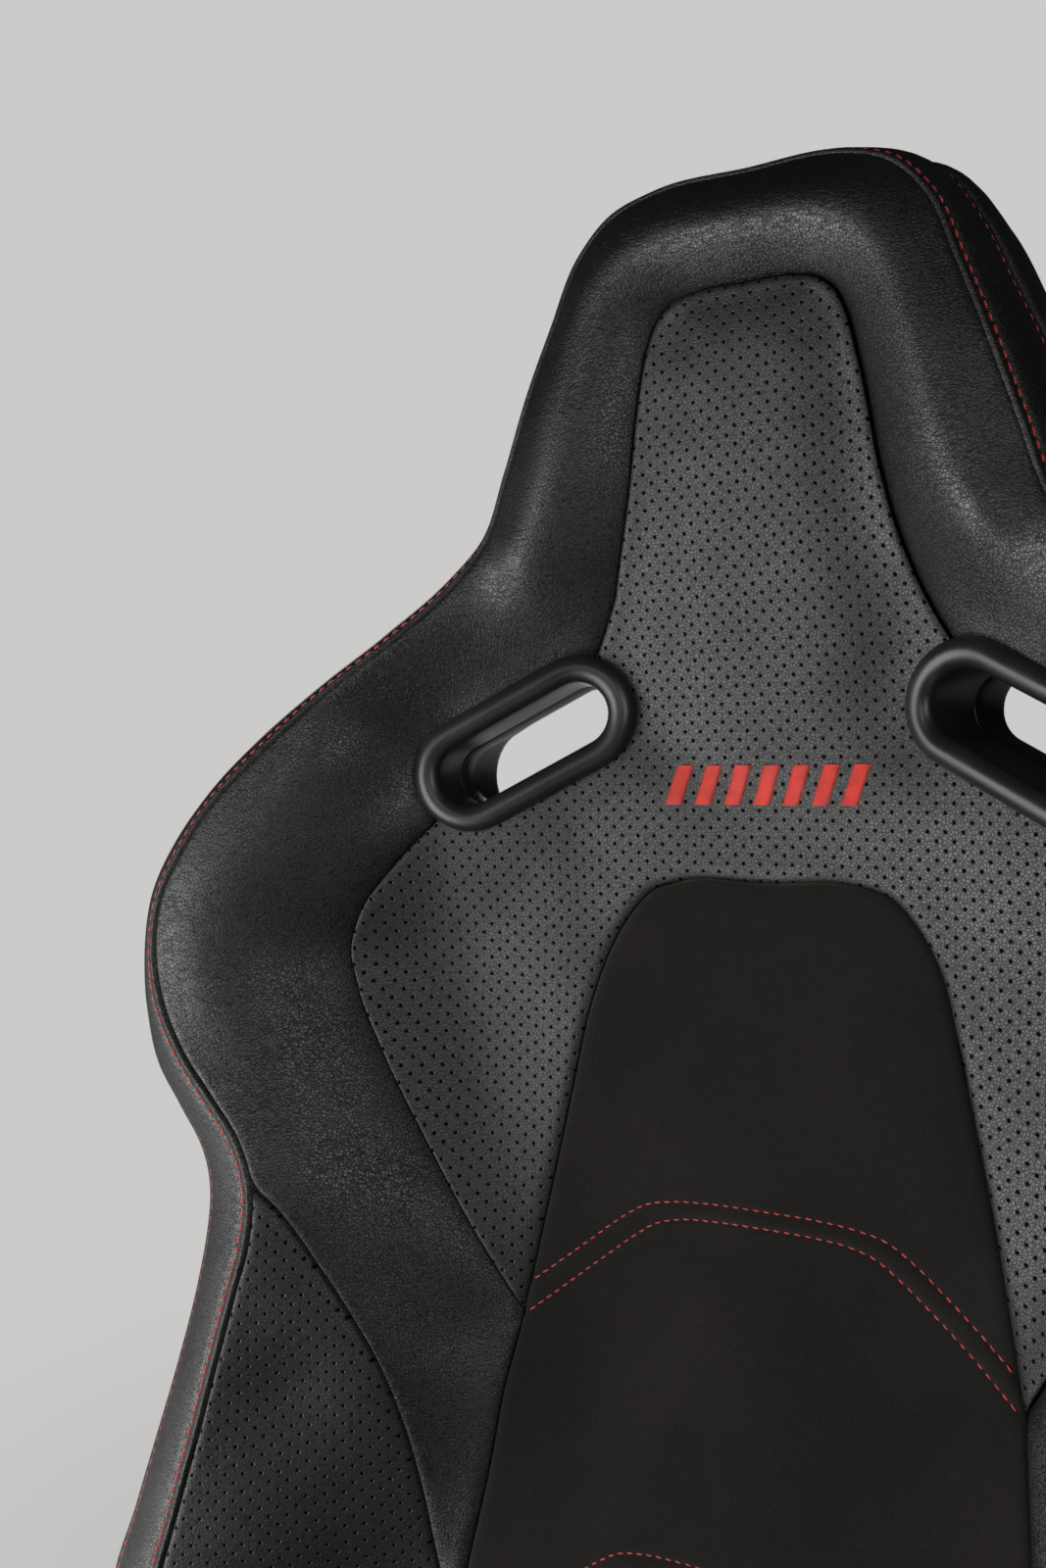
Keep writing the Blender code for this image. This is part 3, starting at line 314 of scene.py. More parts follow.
# ---------------------------------------------------------------- plane regions
def inside(points, outline):
    """Which points lie inside a closed outline."""
    a, b = outline, np.roll(outline, -1, axis=0)
    x, y = points[:, :1], points[:, 1:2]
    spans = (a[:, 1] > y) != (b[:, 1] > y)
    rise = np.where(b[:, 1] == a[:, 1], 1e-9, b[:, 1] - a[:, 1])
    crossing = (b[:, 0] - a[:, 0]) * (y - a[:, 1]) / rise + a[:, 0]
    return ((spans & (x < crossing)).sum(1) % 2) == 1


def chunks(count, size=1500):
    return np.array_split(np.arange(count), max(1, count // size))


def distance(points, lines):
    """Distance from each point to the nearest of several open polylines."""
    best = np.full(len(points), 1e9)
    for line in lines:
        a, b = np.asarray(line)[:-1, :2], np.asarray(line)[1:, :2]
        run = b - a
        for part in chunks(len(points)):
            rel = points[part][:, None, :2] - a
            t = np.clip((rel * run).sum(-1) / np.maximum((run ** 2).sum(-1), 1e-9), 0, 1)
            gap = np.linalg.norm(rel - t[..., None] * run, axis=-1).min(1)
            best[part] = np.minimum(best[part], gap)
    return best


def nearest(points, spots):
    if not len(spots):
        return np.full(len(points), 1e9)
    best = np.empty(len(points))
    for part in chunks(len(points)):
        best[part] = np.linalg.norm(points[part][:, None] - spots, axis=-1).min(1)
    return best


def unit(rows, least=1e-9):
    return rows / np.maximum(np.linalg.norm(rows, axis=-1, keepdims=True), least)


def edge_normals(outline):
    """Unit normals of a closed outline at its points, pointing out."""
    after = np.roll(outline, -1, axis=0)
    run = unit(after - outline) + unit(outline - np.roll(outline, 1, axis=0))
    normal = unit(np.column_stack([run[:, 1], -run[:, 0]]), 1e-6)
    area = (outline[:, 0] * after[:, 1] - after[:, 0] * outline[:, 1]).sum()
    return normal * math.copysign(1.0, area)


def line_normals(line):
    """Unit normals of an open plane curve, to the left of its run."""
    ahead = unit(np.gradient(line[:, :2], axis=0))
    return np.column_stack([-ahead[:, 1], ahead[:, 0]])


def loop_edges(loops):
    edges, start = [], 0
    for loop in loops:
        edges += [(start + i, start + (i + 1) % len(loop)) for i in range(len(loop))]
        start += len(loop)
    return edges


def constrained(spots, edges, loops):
    """Triangles between points, keeping edges, inside the first loop and outside the others."""
    found, _, faces, origin, _, _ = delaunay_2d_cdt([Vector(p) for p in spots], edges, [], 0, 1e-4)
    where = np.zeros(len(spots), int)
    for i, sources in enumerate(origin):
        where[sources] = i
    found = np.array([tuple(p) for p in found])
    faces = np.array([face for face in faces if len(face) == 3])
    middle = found[faces].mean(1)
    keep = inside(middle, loops[0])
    for hole in loops[1:]:
        keep &= ~inside(middle, hole)
    return found, faces[keep], where


EDGE_ROWS = (0.5, 1.3, 2.6, 4.4, 6.6)


def staggered_grid(outline, step):
    """Grid of near-equilateral triangles' corners over an outline's box."""
    low, high = outline.min(0), outline.max(0)
    rows = []
    for k, y in enumerate(np.arange(low[1], high[1], step * 0.866)):
        x = np.arange(low[0] + (k % 2) * step / 2, high[0], step)
        rows.append(np.column_stack([x, np.full(len(x), y)]))
    return np.vstack(rows)


def triangulate(outline, step, edge_rows=EDGE_ROWS, holes=(), extra=()):
    """Points and triangles over an outline: rows near its edge, extra points, then a staggered grid.

    Also gives where the rim points and the extra points ended up."""
    loops = [outline, *holes]
    rim = np.vstack(loops)
    lines = [closed(loop) for loop in loops]
    normals = edge_normals(outline)
    spots = [rim]
    for reach in edge_rows:
        row = outline - normals * reach
        spots.append(row[inside(row, outline) & (distance(row, lines) > reach * 0.93)])
    margin = max(edge_rows, default=0.0) + step * 0.5
    extra = np.vstack([np.empty((0, 2)), *extra])
    extra = extra[inside(extra, outline)]
    extra = extra[distance(extra, lines) > min(margin, 2.0)]
    taken = np.vstack(spots)
    extra = extra[nearest(extra, taken) > 0.5] if len(extra) else extra
    grid = staggered_grid(outline, step)
    grid = grid[inside(grid, outline)]
    for hole in holes:
        grid = grid[~inside(grid, hole)]
    grid = grid[distance(grid, lines) > margin]
    grid = grid[nearest(grid, extra) > step * 0.5]
    spots = np.vstack([taken, extra, grid])
    found, faces, where = constrained(spots, loop_edges(loops), loops)
    fixed = where[:len(rim)], where[len(taken):len(taken) + len(extra)]
    return found, faces, fixed


# ---------------------------------------------------------------- meshes
def make_mesh(name, verts, faces, mat, body=None, uv=None, sharp=40.0):
    """Smooth-shaded mesh object from millimetre points; uv is one pair per vertex."""
    mesh = bpy.data.meshes.new(name)
    mesh.from_pydata((np.asarray(verts) * MM).tolist(), [], [tuple(map(int, f)) for f in faces])
    work = bmesh.new()
    work.from_mesh(mesh)
    bmesh.ops.recalc_face_normals(work, faces=work.faces)
    work.to_mesh(mesh)
    work.free()
    if uv is not None:
        layer = mesh.uv_layers.new(name="plan")
        index = np.empty(len(mesh.loops), int)
        mesh.loops.foreach_get("vertex_index", index)
        layer.data.foreach_set("uv", (np.asarray(uv, float)[index] * MM).ravel())
    mesh.materials.append(mat)
    mesh.shade_smooth()
    mesh.set_sharp_from_angle(angle=math.radians(sharp))
    obj = bpy.data.objects.new(name, mesh)
    bpy.context.scene.collection.objects.link(obj)
    if body:
        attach(obj, body)
    return obj


def loft_faces(rows, count, loop=False):
    """Quads over closed rows of points; loop joins the last row to the first."""
    i = np.arange(rows if loop else rows - 1)[:, None]
    j = np.arange(count)[None, :]
    after, beside = (i + 1) % rows, (j + 1) % count
    quads = np.stack([i * count + j, i * count + beside, after * count + beside, after * count + j], -1)
    return quads.reshape(-1, 4).tolist()


def loft(name, rows, mat, body, loop=False, sharp=40.0):
    """Closed skin through rows of points, with flat ends unless the rows form a loop."""
    rows = np.asarray(rows)
    count = rows.shape[1]
    faces = loft_faces(len(rows), count, loop)
    if not loop:
        faces += [list(range(count)), [(len(rows) - 1) * count + j for j in range(count)]]
    return make_mesh(name, rows.reshape(-1, 3), faces, mat, body, None, sharp)


def dress(piece, slot, node=None):
    """Hides the frame's node that a piece takes the place of; piece and slot are not used."""
    if node:
        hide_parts(node)


def rounded(gap, drop, reach):
    """How far a padded panel falls below its crown at a distance from its seam."""
    t = np.clip(1.0 - gap / reach, 0.0, 1.0)
    return drop * (1.0 - np.sqrt(1.0 - t ** 2))


def groove(gap, depth, width):
    return -depth * np.exp(-(gap / width) ** 2)


def arch_relief(spots, rows):
    """A sewn arch: a raised band between its two sewn rows."""
    near, far = (distance(spots, [row]) for row in rows)
    return groove(near, 1.5, 1.7) + groove(far, 1.5, 1.7) + 1.2 * np.exp(-((near + far - 8.0) / 6.0) ** 2)


class Swell:
    """Rise of a simulated cloth above its starting sheet, smoothed between its vertices."""

    def __init__(self, spots, rise):
        self.spots, self.rise = spots, rise

    def __call__(self, points, spread=9.0):
        total = np.zeros(len(points))
        for part in chunks(len(points)):
            gap = ((points[part][:, None, :2] - self.spots) ** 2).sum(-1)
            weight = np.exp(-gap / (2 * spread ** 2)) + 1e-12
            total[part] = (weight * self.rise).sum(1) / weight.sum(1)
        return total


CLOTH_FRAMES = 18


def drape(name, outline, pins, surface, place, facing, pressure, slack, cap, step=9.0):
    """Cloth sewn down along its pins and blown up a little, with some slack to pucker. Gives a Swell."""
    points, faces, fixed = triangulate(outline, step, (), (), pins)
    start = place(points[:, 0], points[:, 1], surface(points[:, 0], points[:, 1]))
    mesh = bpy.data.meshes.new(name)
    if facing < 0:
        faces = faces[:, ::-1]
    mesh.from_pydata((start * MM).tolist(), [], faces.tolist())
    sheet = bpy.data.objects.new(name, mesh)
    bpy.context.scene.collection.objects.link(sheet)
    pinned = sheet.vertex_groups.new(name="seam")
    pinned.add([int(i) for part in fixed for i in part], 1.0, "REPLACE")
    modifier = sheet.modifiers.new("Cloth", "CLOTH")
    cloth = modifier.settings
    cloth.vertex_group_mass = "seam"
    cloth.quality = 6
    cloth.mass = 0.25
    cloth.air_damping = 4.0
    cloth.tension_stiffness = cloth.compression_stiffness = 18.0
    cloth.shear_stiffness = 8.0
    cloth.bending_stiffness = 0.6
    cloth.shrink_min = -slack
    cloth.use_pressure = True
    cloth.uniform_pressure_force = pressure
    cloth.effector_weights.gravity = 0.0
    modifier.point_cache.frame_start, modifier.point_cache.frame_end = 1, CLOTH_FRAMES
    for moment in range(1, CLOTH_FRAMES + 1):
        bpy.context.scene.frame_set(moment)
    settled = sheet.evaluated_get(bpy.context.evaluated_depsgraph_get())
    moved = np.empty(len(points) * 3)
    settled.data.vertices.foreach_get("co", moved)
    normals = np.empty(len(points) * 3)
    mesh.vertices.foreach_get("normal", normals)
    rise = ((moved.reshape(-1, 3) / MM - start) * normals.reshape(-1, 3)).sum(1)
    bpy.context.scene.frame_set(1)
    bpy.data.objects.remove(sheet)
    return Swell(points, np.clip(np.nan_to_num(rise), -cap, cap))


SWELL_MARGIN = 12.0


def panel(name, outline, surface, place, mat, body, rolls, step=5.0, rear=PANEL_REAR, facing=1.0,
          holes=(), swell=None, extra=(), skirt=((1.0, 0.0),), bulge=None, gap=0.35, stretch=1.0):
    """A padded cover: crowned front whose edges roll into their seams, sides, and a flat rear.

    rolls lists (seam lines, drop, reach); skirt lists (share of the way to the rear, outward bulge);
    facing is -1 where depth grows inward; stretch widens the pattern laid on the front."""
    outline = outline - edge_normals(outline) * gap
    points, faces, (rim, _) = triangulate(outline, step, holes=holes, extra=extra)
    depth = surface(points[:, 0], points[:, 1])
    if swell is not None:
        free = np.clip(distance(points, [closed(outline)]) / SWELL_MARGIN, 0, 1)
        depth = depth + facing * swell(points) * free
    for lines, drop, reach in rolls:
        depth = depth - facing * rounded(distance(points, lines), drop, reach)
    verts = [place(points[:, 0], points[:, 1], depth)]
    edge_points, edge_depth = points[rim], depth[rim]
    outward = np.vstack([edge_normals(outline), np.zeros((len(rim) - len(outline), 2))])
    if bulge is not None:
        outward = outward * bulge(edge_points)[:, None]
    index = [rim]
    total = len(points)
    spread = [points]
    for share, out in skirt:
        spot = edge_points + outward * out
        verts.append(place(spot[:, 0], spot[:, 1], edge_depth + (rear - edge_depth) * share))
        spread.append(spot)
        index.append(np.arange(total, total + len(rim)))
        total += len(rim)
    skin = faces.tolist()
    loops = [outline, *holes]
    edges = loop_edges(loops)
    for low, high in zip(index[:-1], index[1:]):
        skin += [(low[a], low[b], high[b], high[a]) for a, b in edges]
    _, base, where = constrained(edge_points, edges, loops)
    back = np.zeros(len(rim), int)
    back[where] = np.arange(len(rim))
    skin += index[-1][back[base]].tolist()
    return make_mesh(name, np.vstack(verts), skin, mat, body, np.vstack(spread) * (stretch, 1.0))


# ---------------------------------------------------------------- thread
class Threads:
    """Capsules of thread gathered into one mesh."""

    def __init__(self, spokes):
        self.spin = np.linspace(0, 2 * math.pi, spokes, endpoint=False)
        self.verts, self.faces = [], []

    def add(self, spine, across, out, size, flat=1.0):
        """One capsule round a spine, across and out being its radial directions; flat thins it along out."""
        rows, spokes = len(spine), len(self.spin)
        cos, sin = np.cos(self.spin)[None, :, None], np.sin(self.spin)[None, :, None]
        ring = across[:, None] * cos + out[:, None] * sin * flat
        base = len(self.verts) * rows * spokes
        self.verts.append((spine[:, None] + ring * size[:, None, None]).reshape(-1, 3))
        self.faces += [[base + i for i in face] for face in loft_faces(rows, spokes)]
        self.faces.append([base + j for j in reversed(range(spokes))])
        self.faces.append([base + (rows - 1) * spokes + j for j in range(spokes)])

    def mesh(self, name, mat, body, slot):
        dress(make_mesh(name, np.vstack(self.verts), self.faces, mat, body), slot)


def stitches(name, path, normals, mat, body, length, width, gap=1.5, slant=0.1, sink=0.2):
    """A row of separate stitches along a path, each dipping into the cover at its ends."""
    along = chords(path)
    pitch = length + gap
    count = int((along[-1] - gap) / pitch)
    margin = (along[-1] - count * pitch + gap) / 2
    t = np.linspace(-1, 1, 7)
    size = width / 2 * np.sqrt(np.maximum(1 - np.abs(t) ** 3.2, 0.02))
    lift = width * 0.36 * (1 - t ** 2) - sink
    threads = Threads(7)
    for k in range(count):
        at = margin + k * pitch + length * (0.5 + 0.5 * t)
        middle = np.column_stack([np.interp(at, along, path[:, i]) for i in range(3)])
        out = unit(np.column_stack([np.interp(at, along, normals[:, i]) for i in range(3)]))
        across = np.cross(unit(middle[-1] - middle[0]), out)
        spine = middle + out * lift[:, None] + across * (slant * t * length / 2)[:, None]
        threads.add(spine, across, out, size, 0.8)
    threads.mesh(name, mat, body, "leather")


def on_surface(curve, surface, place, facing=1.0):
    """Points and normals of a plane curve laid on a height field."""
    x, z = curve[:, 0], curve[:, 1]
    points = place(x, z, surface(x, z))
    beside = place(x + 1, z, surface(x + 1, z)) - points
    above = place(x, z + 1, surface(x, z + 1)) - points
    return points, unit(np.cross(beside, above) * facing)


# ---------------------------------------------------------------- materials
class Finish:
    """A Principled material with short ways to wire its nodes."""

    def __init__(self, name, **values):
        self.material = bpy.data.materials.new(name)
        self.material.use_nodes = True
        self.nodes = self.material.node_tree.nodes
        self.links = self.material.node_tree.links
        self.shader = self.nodes["Principled BSDF"]
        for key, value in values.items():
            self.set(key, value)

    def set(self, key, value):
        names = {"colour": "Base Color", "specular": "Specular IOR Level"}
        self.wire(value, self.shader.inputs[names.get(key, key.replace("_", " ").title())])

    def wire(self, value, socket):
        if isinstance(value, bpy.types.NodeSocket):
            self.links.new(value, socket)
        elif socket.type == "RGBA" and len(value) == 3:
            socket.default_value = (*value, 1.0)
        else:
            socket.default_value = value

    def add(self, kind, inputs, output=0, **settings):
        node = self.nodes.new("ShaderNode" + kind)
        for key, value in settings.items():
            setattr(node, key, value)
        for key, value in inputs.items():
            self.wire(value, node.inputs[key])
        return node.outputs[output]

    def place(self, stretch=(1.0, 1.0, 1.0), turn=(0.0, 0.0, 0.0)):
        """Object coordinates in metres, scaled and turned."""
        spot = self.add("TexCoord", {}, "Object")
        return self.add("Mapping", {"Vector": spot, "Scale": stretch, "Rotation": turn})

    def noise(self, spot, scale, detail=2.0, distortion=0.0, output=0):
        return self.add("TexNoise", {"Vector": spot, "Scale": scale, "Detail": detail,
                                     "Distortion": distortion}, output)

    def cells(self, spot, scale, feature="F1"):
        return self.add("TexVoronoi", {"Vector": spot, "Scale": scale}, feature=feature)

    def maths(self, operation, a, b=0.0):
        return self.add("Math", {0: a, 1: b}, operation=operation)

    def remap(self, value, low, high, to_low=0.0, to_high=1.0, shape="SMOOTHSTEP"):
        return self.add("MapRange", {"Value": value, "From Min": low, "From Max": high, "To Min": to_low,
                                     "To Max": to_high}, interpolation_type=shape)

    def mix(self, share, a, b):
        return self.add("Mix", {0: share, 6: a, 7: b}, 2, data_type="RGBA")

    def times(self, a, b):
        return self.maths("MULTIPLY", a, b)

    def without(self, value):
        return self.maths("SUBTRACT", 1.0, value)

    def spread(self, noise, low, high):
        """A noise stretched to run from low to high."""
        return self.remap(noise, 0.3, 0.7, low, high)

    def shade(self, colour, tone):
        return self.add("HueSaturation", {"Color": colour, "Value": tone})

    def rubbed(self, low, high):
        """Where an edge stands proud and wears."""
        return self.remap(self.add("NewGeometry", {}, "Pointiness"), low, high)

    def relief(self, height, depth, under=None, strength=1.0):
        """Bump of a height between 0 and 1, depth in millimetres."""
        inputs = {"Height": height, "Distance": depth * MM, "Strength": strength}
        if under is not None:
            inputs["Normal"] = under
        return self.add("Bump", inputs)


def warped(finish, spot, amount, scale):
    """Coordinates pushed about by noise, amount in millimetres."""
    push = finish.noise(spot, scale, 2.0, output="Color")
    push = finish.add("VectorMath", {0: push, 1: (0.5, 0.5, 0.5)}, operation="SUBTRACT")
    push = finish.add("VectorMath", {0: push, 3: amount * MM}, operation="SCALE")
    return finish.add("VectorMath", {0: spot, 1: push}, operation="ADD")


PEBBLE_DEPTH, CREASE_DEPTH, LUMP_DEPTH = 0.09, 0.085, 0.03


def dimmed(colour, share):
    return (*[c * share for c in colour], 1.0)


def hide_grain(finish, fold_turn=0.0, folds=1.0):
    """Leather relief: pebbles of about 1.4 mm, and finer creases that run across the rolls."""
    spot = finish.place()
    bent = warped(finish, spot, 1.1, 420.0)
    pebble = finish.remap(finish.cells(bent, 620.0, "DISTANCE_TO_EDGE"), 0.0, 0.17)
    pebble = finish.times(pebble, finish.spread(finish.noise(spot, 130.0, 3.0), 0.72, 1.0))
    drawn = warped(finish, finish.place((0.36, 1.0, 1.0), (0.0, fold_turn, 0.0)), 4.0, 60.0)
    wave = finish.maths("SUBTRACT", finish.noise(drawn, 330.0, 4.0, 0.4), 0.5)
    crease = finish.remap(finish.maths("ABSOLUTE", wave), 0.0, 0.06, 1.0, 0.0)
    where = finish.remap(finish.noise(spot, 26.0, 2.0), 0.35, 0.65, 0.55 * folds, folds)
    crease = finish.times(crease, where)
    normal = finish.relief(finish.noise(spot, 60.0, 3.0), LUMP_DEPTH)
    normal = finish.relief(finish.without(crease), CREASE_DEPTH, normal)
    return pebble, crease, finish.relief(pebble, PEBBLE_DEPTH, normal)


def grain_shine(finish, pebble, crease):
    """Specular level: full on the pebbles, low in the valleys and creases between them."""
    valley = finish.remap(pebble, 0.0, 0.8, 0.34, 0.66)
    return finish.times(valley, finish.remap(crease, 0.0, 1.0, 1.0, 0.62))


def leather(name, colour, roughness, fold_turn=0.0):
    """Smooth black hide with grain, faint stretch creases, painted shade in the grain's valleys and a polish
    on its raised edges.
    """
    finish = Finish(name)
    pebble, crease, normal = hide_grain(finish, fold_turn)
    rubbed = finish.rubbed(0.52, 0.60)
    cloud = finish.noise(finish.place(), 9.0, 3.0)
    polished = (*[c * 1.9 + 0.004 for c in colour], 1.0)
    base = finish.shade(colour, finish.spread(cloud, 0.86, 1.14))
    base = finish.mix(finish.times(rubbed, 0.2), base, polished)
    # painted shade: mask of the grain's valleys, where the bump runs low
    valley = finish.times(finish.without(pebble), 0.5)
    rough = finish.remap(cloud, 0.25, 0.75, roughness - 0.05, roughness + 0.06)
    rough = finish.maths("SUBTRACT", rough, finish.times(rubbed, 0.08))
    # painted shade: the base colour darkens towards dimmed(colour, 0.55) in the grain's valleys
    finish.set("colour", finish.mix(valley, base, dimmed(colour, 0.55)))
    finish.set("specular", grain_shine(finish, pebble, crease))
    finish.set("roughness", finish.maths("ADD", rough, finish.times(crease, 0.06)))
    finish.set("normal", normal)
    return finish.material


HOLE_PITCH = (7.8, 8.0)
HOLE_RADIUS = 0.70


def hole_field(finish):
    """Distance in metres from the nearest perforation of a staggered lattice."""
    spot = finish.add("UVMap", {}, uv_map="plan")
    pitch = (HOLE_PITCH[0] * MM, HOLE_PITCH[1] * MM, 1.0)
    steps = finish.add("VectorMath", {0: spot, 1: pitch}, operation="DIVIDE")
    gaps = []
    for shift in ((0.0, 0.0, 0.0), (0.5, 0.5, 0.0)):
        moved = finish.add("VectorMath", {0: steps, 1: shift}, operation="ADD")
        part = finish.add("VectorMath", {0: moved}, operation="FRACTION")
        part = finish.add("VectorMath", {0: part, 1: (0.5, 0.5, 0.0)}, operation="SUBTRACT")
        part = finish.add("VectorMath", {0: part, 1: (pitch[0], pitch[1], 0.0)}, operation="MULTIPLY")
        gaps.append(finish.add("VectorMath", {0: part}, "Value", operation="LENGTH"))
    return finish.maths("MINIMUM", *gaps)


def perforated_leather(name, colour):
    """Matt charcoal hide pierced by a staggered lattice of small holes, each a shallow bump dip painted
    near-black as painted shade, with painted shade in the grain's valleys.
    """
    finish = Finish(name)
    pebble, crease, normal = hide_grain(finish, 0.0, 0.25)
    gap = hole_field(finish)
    hole = finish.remap(gap, (HOLE_RADIUS - 0.12) * MM, (HOLE_RADIUS + 0.08) * MM, 1.0, 0.0)
    lip = finish.remap(gap, (HOLE_RADIUS - 0.1) * MM, (HOLE_RADIUS + 0.45) * MM)
    cloud = finish.noise(finish.place(), 14.0, 4.0)
    base = finish.shade(colour, finish.spread(cloud, 0.86, 1.14))
    # painted shade: the base colour darkens towards dimmed(colour, 0.6) in the grain's valleys
    base = finish.mix(finish.times(finish.without(pebble), 0.5), base, dimmed(colour, 0.6))
    # painted shade: each hole is painted near-black in place of the shade inside its depth
    finish.set("colour", finish.mix(hole, base, (0.0015, 0.0015, 0.0015, 1.0)))
    finish.set("specular", finish.times(grain_shine(finish, pebble, crease), finish.without(hole)))
    finish.set("roughness", finish.remap(cloud, 0.25, 0.75, 0.44, 0.52))
    finish.set("normal", finish.relief(lip, 0.3, normal))
    return finish.material


def suede(name, colour):
    """Brushed microfibre: short nap with faint soft patches and a warm sheen."""
    finish = Finish(name, specular=0.12, roughness=0.92)
    spot = finish.place()
    patch = finish.noise(warped(finish, spot, 10.0, 20.0), 16.0, 3.0, 0.5)
    fibre = finish.noise(spot, 2400.0, 2.0)
    fleck = finish.noise(spot, 1100.0, 4.0)
    tone = finish.times(finish.spread(patch, 0.92, 1.08), finish.spread(fleck, 0.70, 1.34))
    finish.set("colour", finish.shade(colour, tone))
    finish.set("sheen_weight", finish.spread(patch, 0.16, 0.22))
    finish.set("sheen_roughness", 0.5)
    finish.set("sheen_tint", (0.78, 0.70, 0.65, 1.0))
    finish.set("normal", finish.relief(fibre, 0.08, finish.relief(fleck, 0.12)))
    return finish.material


def thread(name, colour):
    """Twisted polyester thread: fine slanting ply lines, painted darker in their grooves as painted shade,
    and a slight shine.
    """
    finish = Finish(name, roughness=0.5, specular=0.35)
    spot = finish.place((1.0, 1.0, 1.0), (0.5, 0.7, 0.3))
    ply = finish.add("TexWave", {"Vector": spot, "Scale": 480.0, "Distortion": 1.5, "Detail": 1.0})
    cloud = finish.spread(finish.noise(spot, 120.0), 0.85, 1.12)
    # painted shade: the colour darkens in the grooves between the plies, where the bump is low
    tone = finish.times(finish.remap(ply, 0.0, 1.0, 0.72, 1.12), cloud)
    finish.set("colour", finish.shade(colour, tone))
    finish.set("normal", finish.relief(ply, 0.12))
    finish.set("sheen_weight", 0.25)
    return finish.material


def moulded(name, colour, roughness, grain_scale, grain_depth):
    """Moulded plastic: fine spark-eroded grain, faint flow clouds and polished edges."""
    finish = Finish(name, specular=0.5)
    spot = finish.place()
    grain = finish.noise(spot, grain_scale, 3.0)
    cloud = finish.noise(spot, 24.0, 3.0)
    rubbed = finish.rubbed(0.53, 0.62)
    polished = (*[c * 2.2 + 0.006 for c in colour], 1.0)
    base = finish.shade(colour, finish.spread(cloud, 0.85, 1.15))
    finish.set("colour", finish.mix(finish.times(rubbed, 0.5), base, polished))
    rough = finish.spread(cloud, roughness - 0.04, roughness + 0.05)
    finish.set("roughness", finish.maths("SUBTRACT", rough, finish.times(rubbed, 0.12)))
    finish.set("normal", finish.relief(grain, grain_depth))
    return finish.material


def painted(name, colour):
    """Powder-coated steel: orange-peel skin with scuffs on its edges."""
    finish = Finish(name, specular=0.5)
    spot = finish.place()
    scuff = finish.remap(finish.noise(finish.place((1.0, 0.25, 1.0)), 260.0, 5.0), 0.60, 0.72)
    bare = finish.times(scuff, finish.rubbed(0.53, 0.60))
    finish.set("colour", finish.mix(bare, (*colour, 1.0), (0.30, 0.29, 0.28, 1.0)))
    finish.set("metallic", bare)
    finish.set("roughness", finish.spread(finish.noise(spot, 30.0, 3.0), 0.36, 0.5))
    finish.set("normal", finish.relief(finish.noise(spot, 700.0, 2.0), 0.05))
    return finish.material


def plated(name, colour, roughness, streak=(1.0, 0.12, 1.0)):
    """Plated or oiled steel: rolled streaks, cloudy tone and small scratches."""
    finish = Finish(name, metallic=1.0)
    roll = finish.noise(finish.place(streak), 900.0, 3.0)
    cloud = finish.noise(finish.place(), 45.0, 4.0, 0.8)
    scratch = finish.noise(finish.place((0.2, 1.0, 1.0), (0.3, 0.2, 0.9)), 1500.0, 2.0)
    scratch = finish.remap(scratch, 0.64, 0.7)
    tone = finish.times(finish.spread(cloud, 0.78, 1.12), finish.spread(roll, 0.9, 1.06))
    base = finish.shade(colour, tone)
    finish.set("colour", finish.mix(finish.times(scratch, 0.3), base, (0.8, 0.8, 0.8, 1.0)))
    finish.set("roughness", finish.spread(roll, roughness - 0.07, roughness + 0.09))
    finish.set("normal", finish.relief(roll, 0.03))
    return finish.material


def foam_skin(name, colour):
    """Moulded polyurethane foam: open pores and mottled yellowing."""
    finish = Finish(name, roughness=0.95, specular=0.15)
    spot = finish.place()
    pore = finish.remap(finish.cells(warped(finish, spot, 1.0, 400.0), 520.0), 0.1, 0.5)
    base = finish.shade(colour, finish.spread(finish.noise(spot, 20.0, 4.0), 0.8, 1.1))
    finish.set("colour", finish.mix(finish.times(pore, 0.5), base, dimmed(colour, 0.5)))
    finish.set("normal", finish.relief(pore, 0.5))
    return finish.material


def woven(name, colour):
    """Plain-weave backing cloth, painted darker between the yarns as painted shade."""
    finish = Finish(name, roughness=0.9, specular=0.15)
    spot = finish.place()
    yarn = {"Vector": spot, "Scale": 260.0, "Distortion": 0.6}
    height = finish.maths("MAXIMUM", *(finish.add("TexWave", yarn, bands_direction=way) for way in "XY"))
    cloud = finish.spread(finish.noise(spot, 30.0, 3.0), 0.85, 1.15)
    # painted shade: the colour darkens between the yarns, where the bump is low
    tone = finish.times(finish.remap(height, 0.0, 1.0, 0.6, 1.15), cloud)
    finish.set("colour", finish.shade(colour, tone))
    finish.set("normal", finish.relief(height, 0.2))
    return finish.material


def make_finishes():
    return {
        "leather": leather("black_leather", (0.0065, 0.0063, 0.0062), 0.38),
        "gusset": leather("gusset_leather", (0.0065, 0.0063, 0.0062), 0.40, 1.2),
        "perforated": perforated_leather("perforated_leather", (0.0112, 0.0107, 0.0104)),
        "suede": suede("black_suede", (0.0084, 0.0073, 0.0066)),
        "red": thread("red_thread", (0.62, 0.040, 0.036)),
        "embroidery": thread("embroidery_thread", (0.68, 0.045, 0.030)),
        "bezel": moulded("satin_plastic", (0.011, 0.011, 0.0115), 0.34, 1400.0, 0.02),
        "plastic": moulded("grained_plastic", (0.020, 0.020, 0.021), 0.46, 620.0, 0.16),
        "frame": painted("powder_coat", (0.020, 0.020, 0.022)),
        "zinc": plated("zinc_plate", (0.56, 0.55, 0.51), 0.34),
        "spring": plated("spring_steel", (0.13, 0.13, 0.14), 0.36, (0.5, 1.0, 1.0)),
        "foam": foam_skin("moulded_foam", (0.52, 0.46, 0.27)),
        "cloth": woven("backing_cloth", (0.022, 0.022, 0.023)),
    }


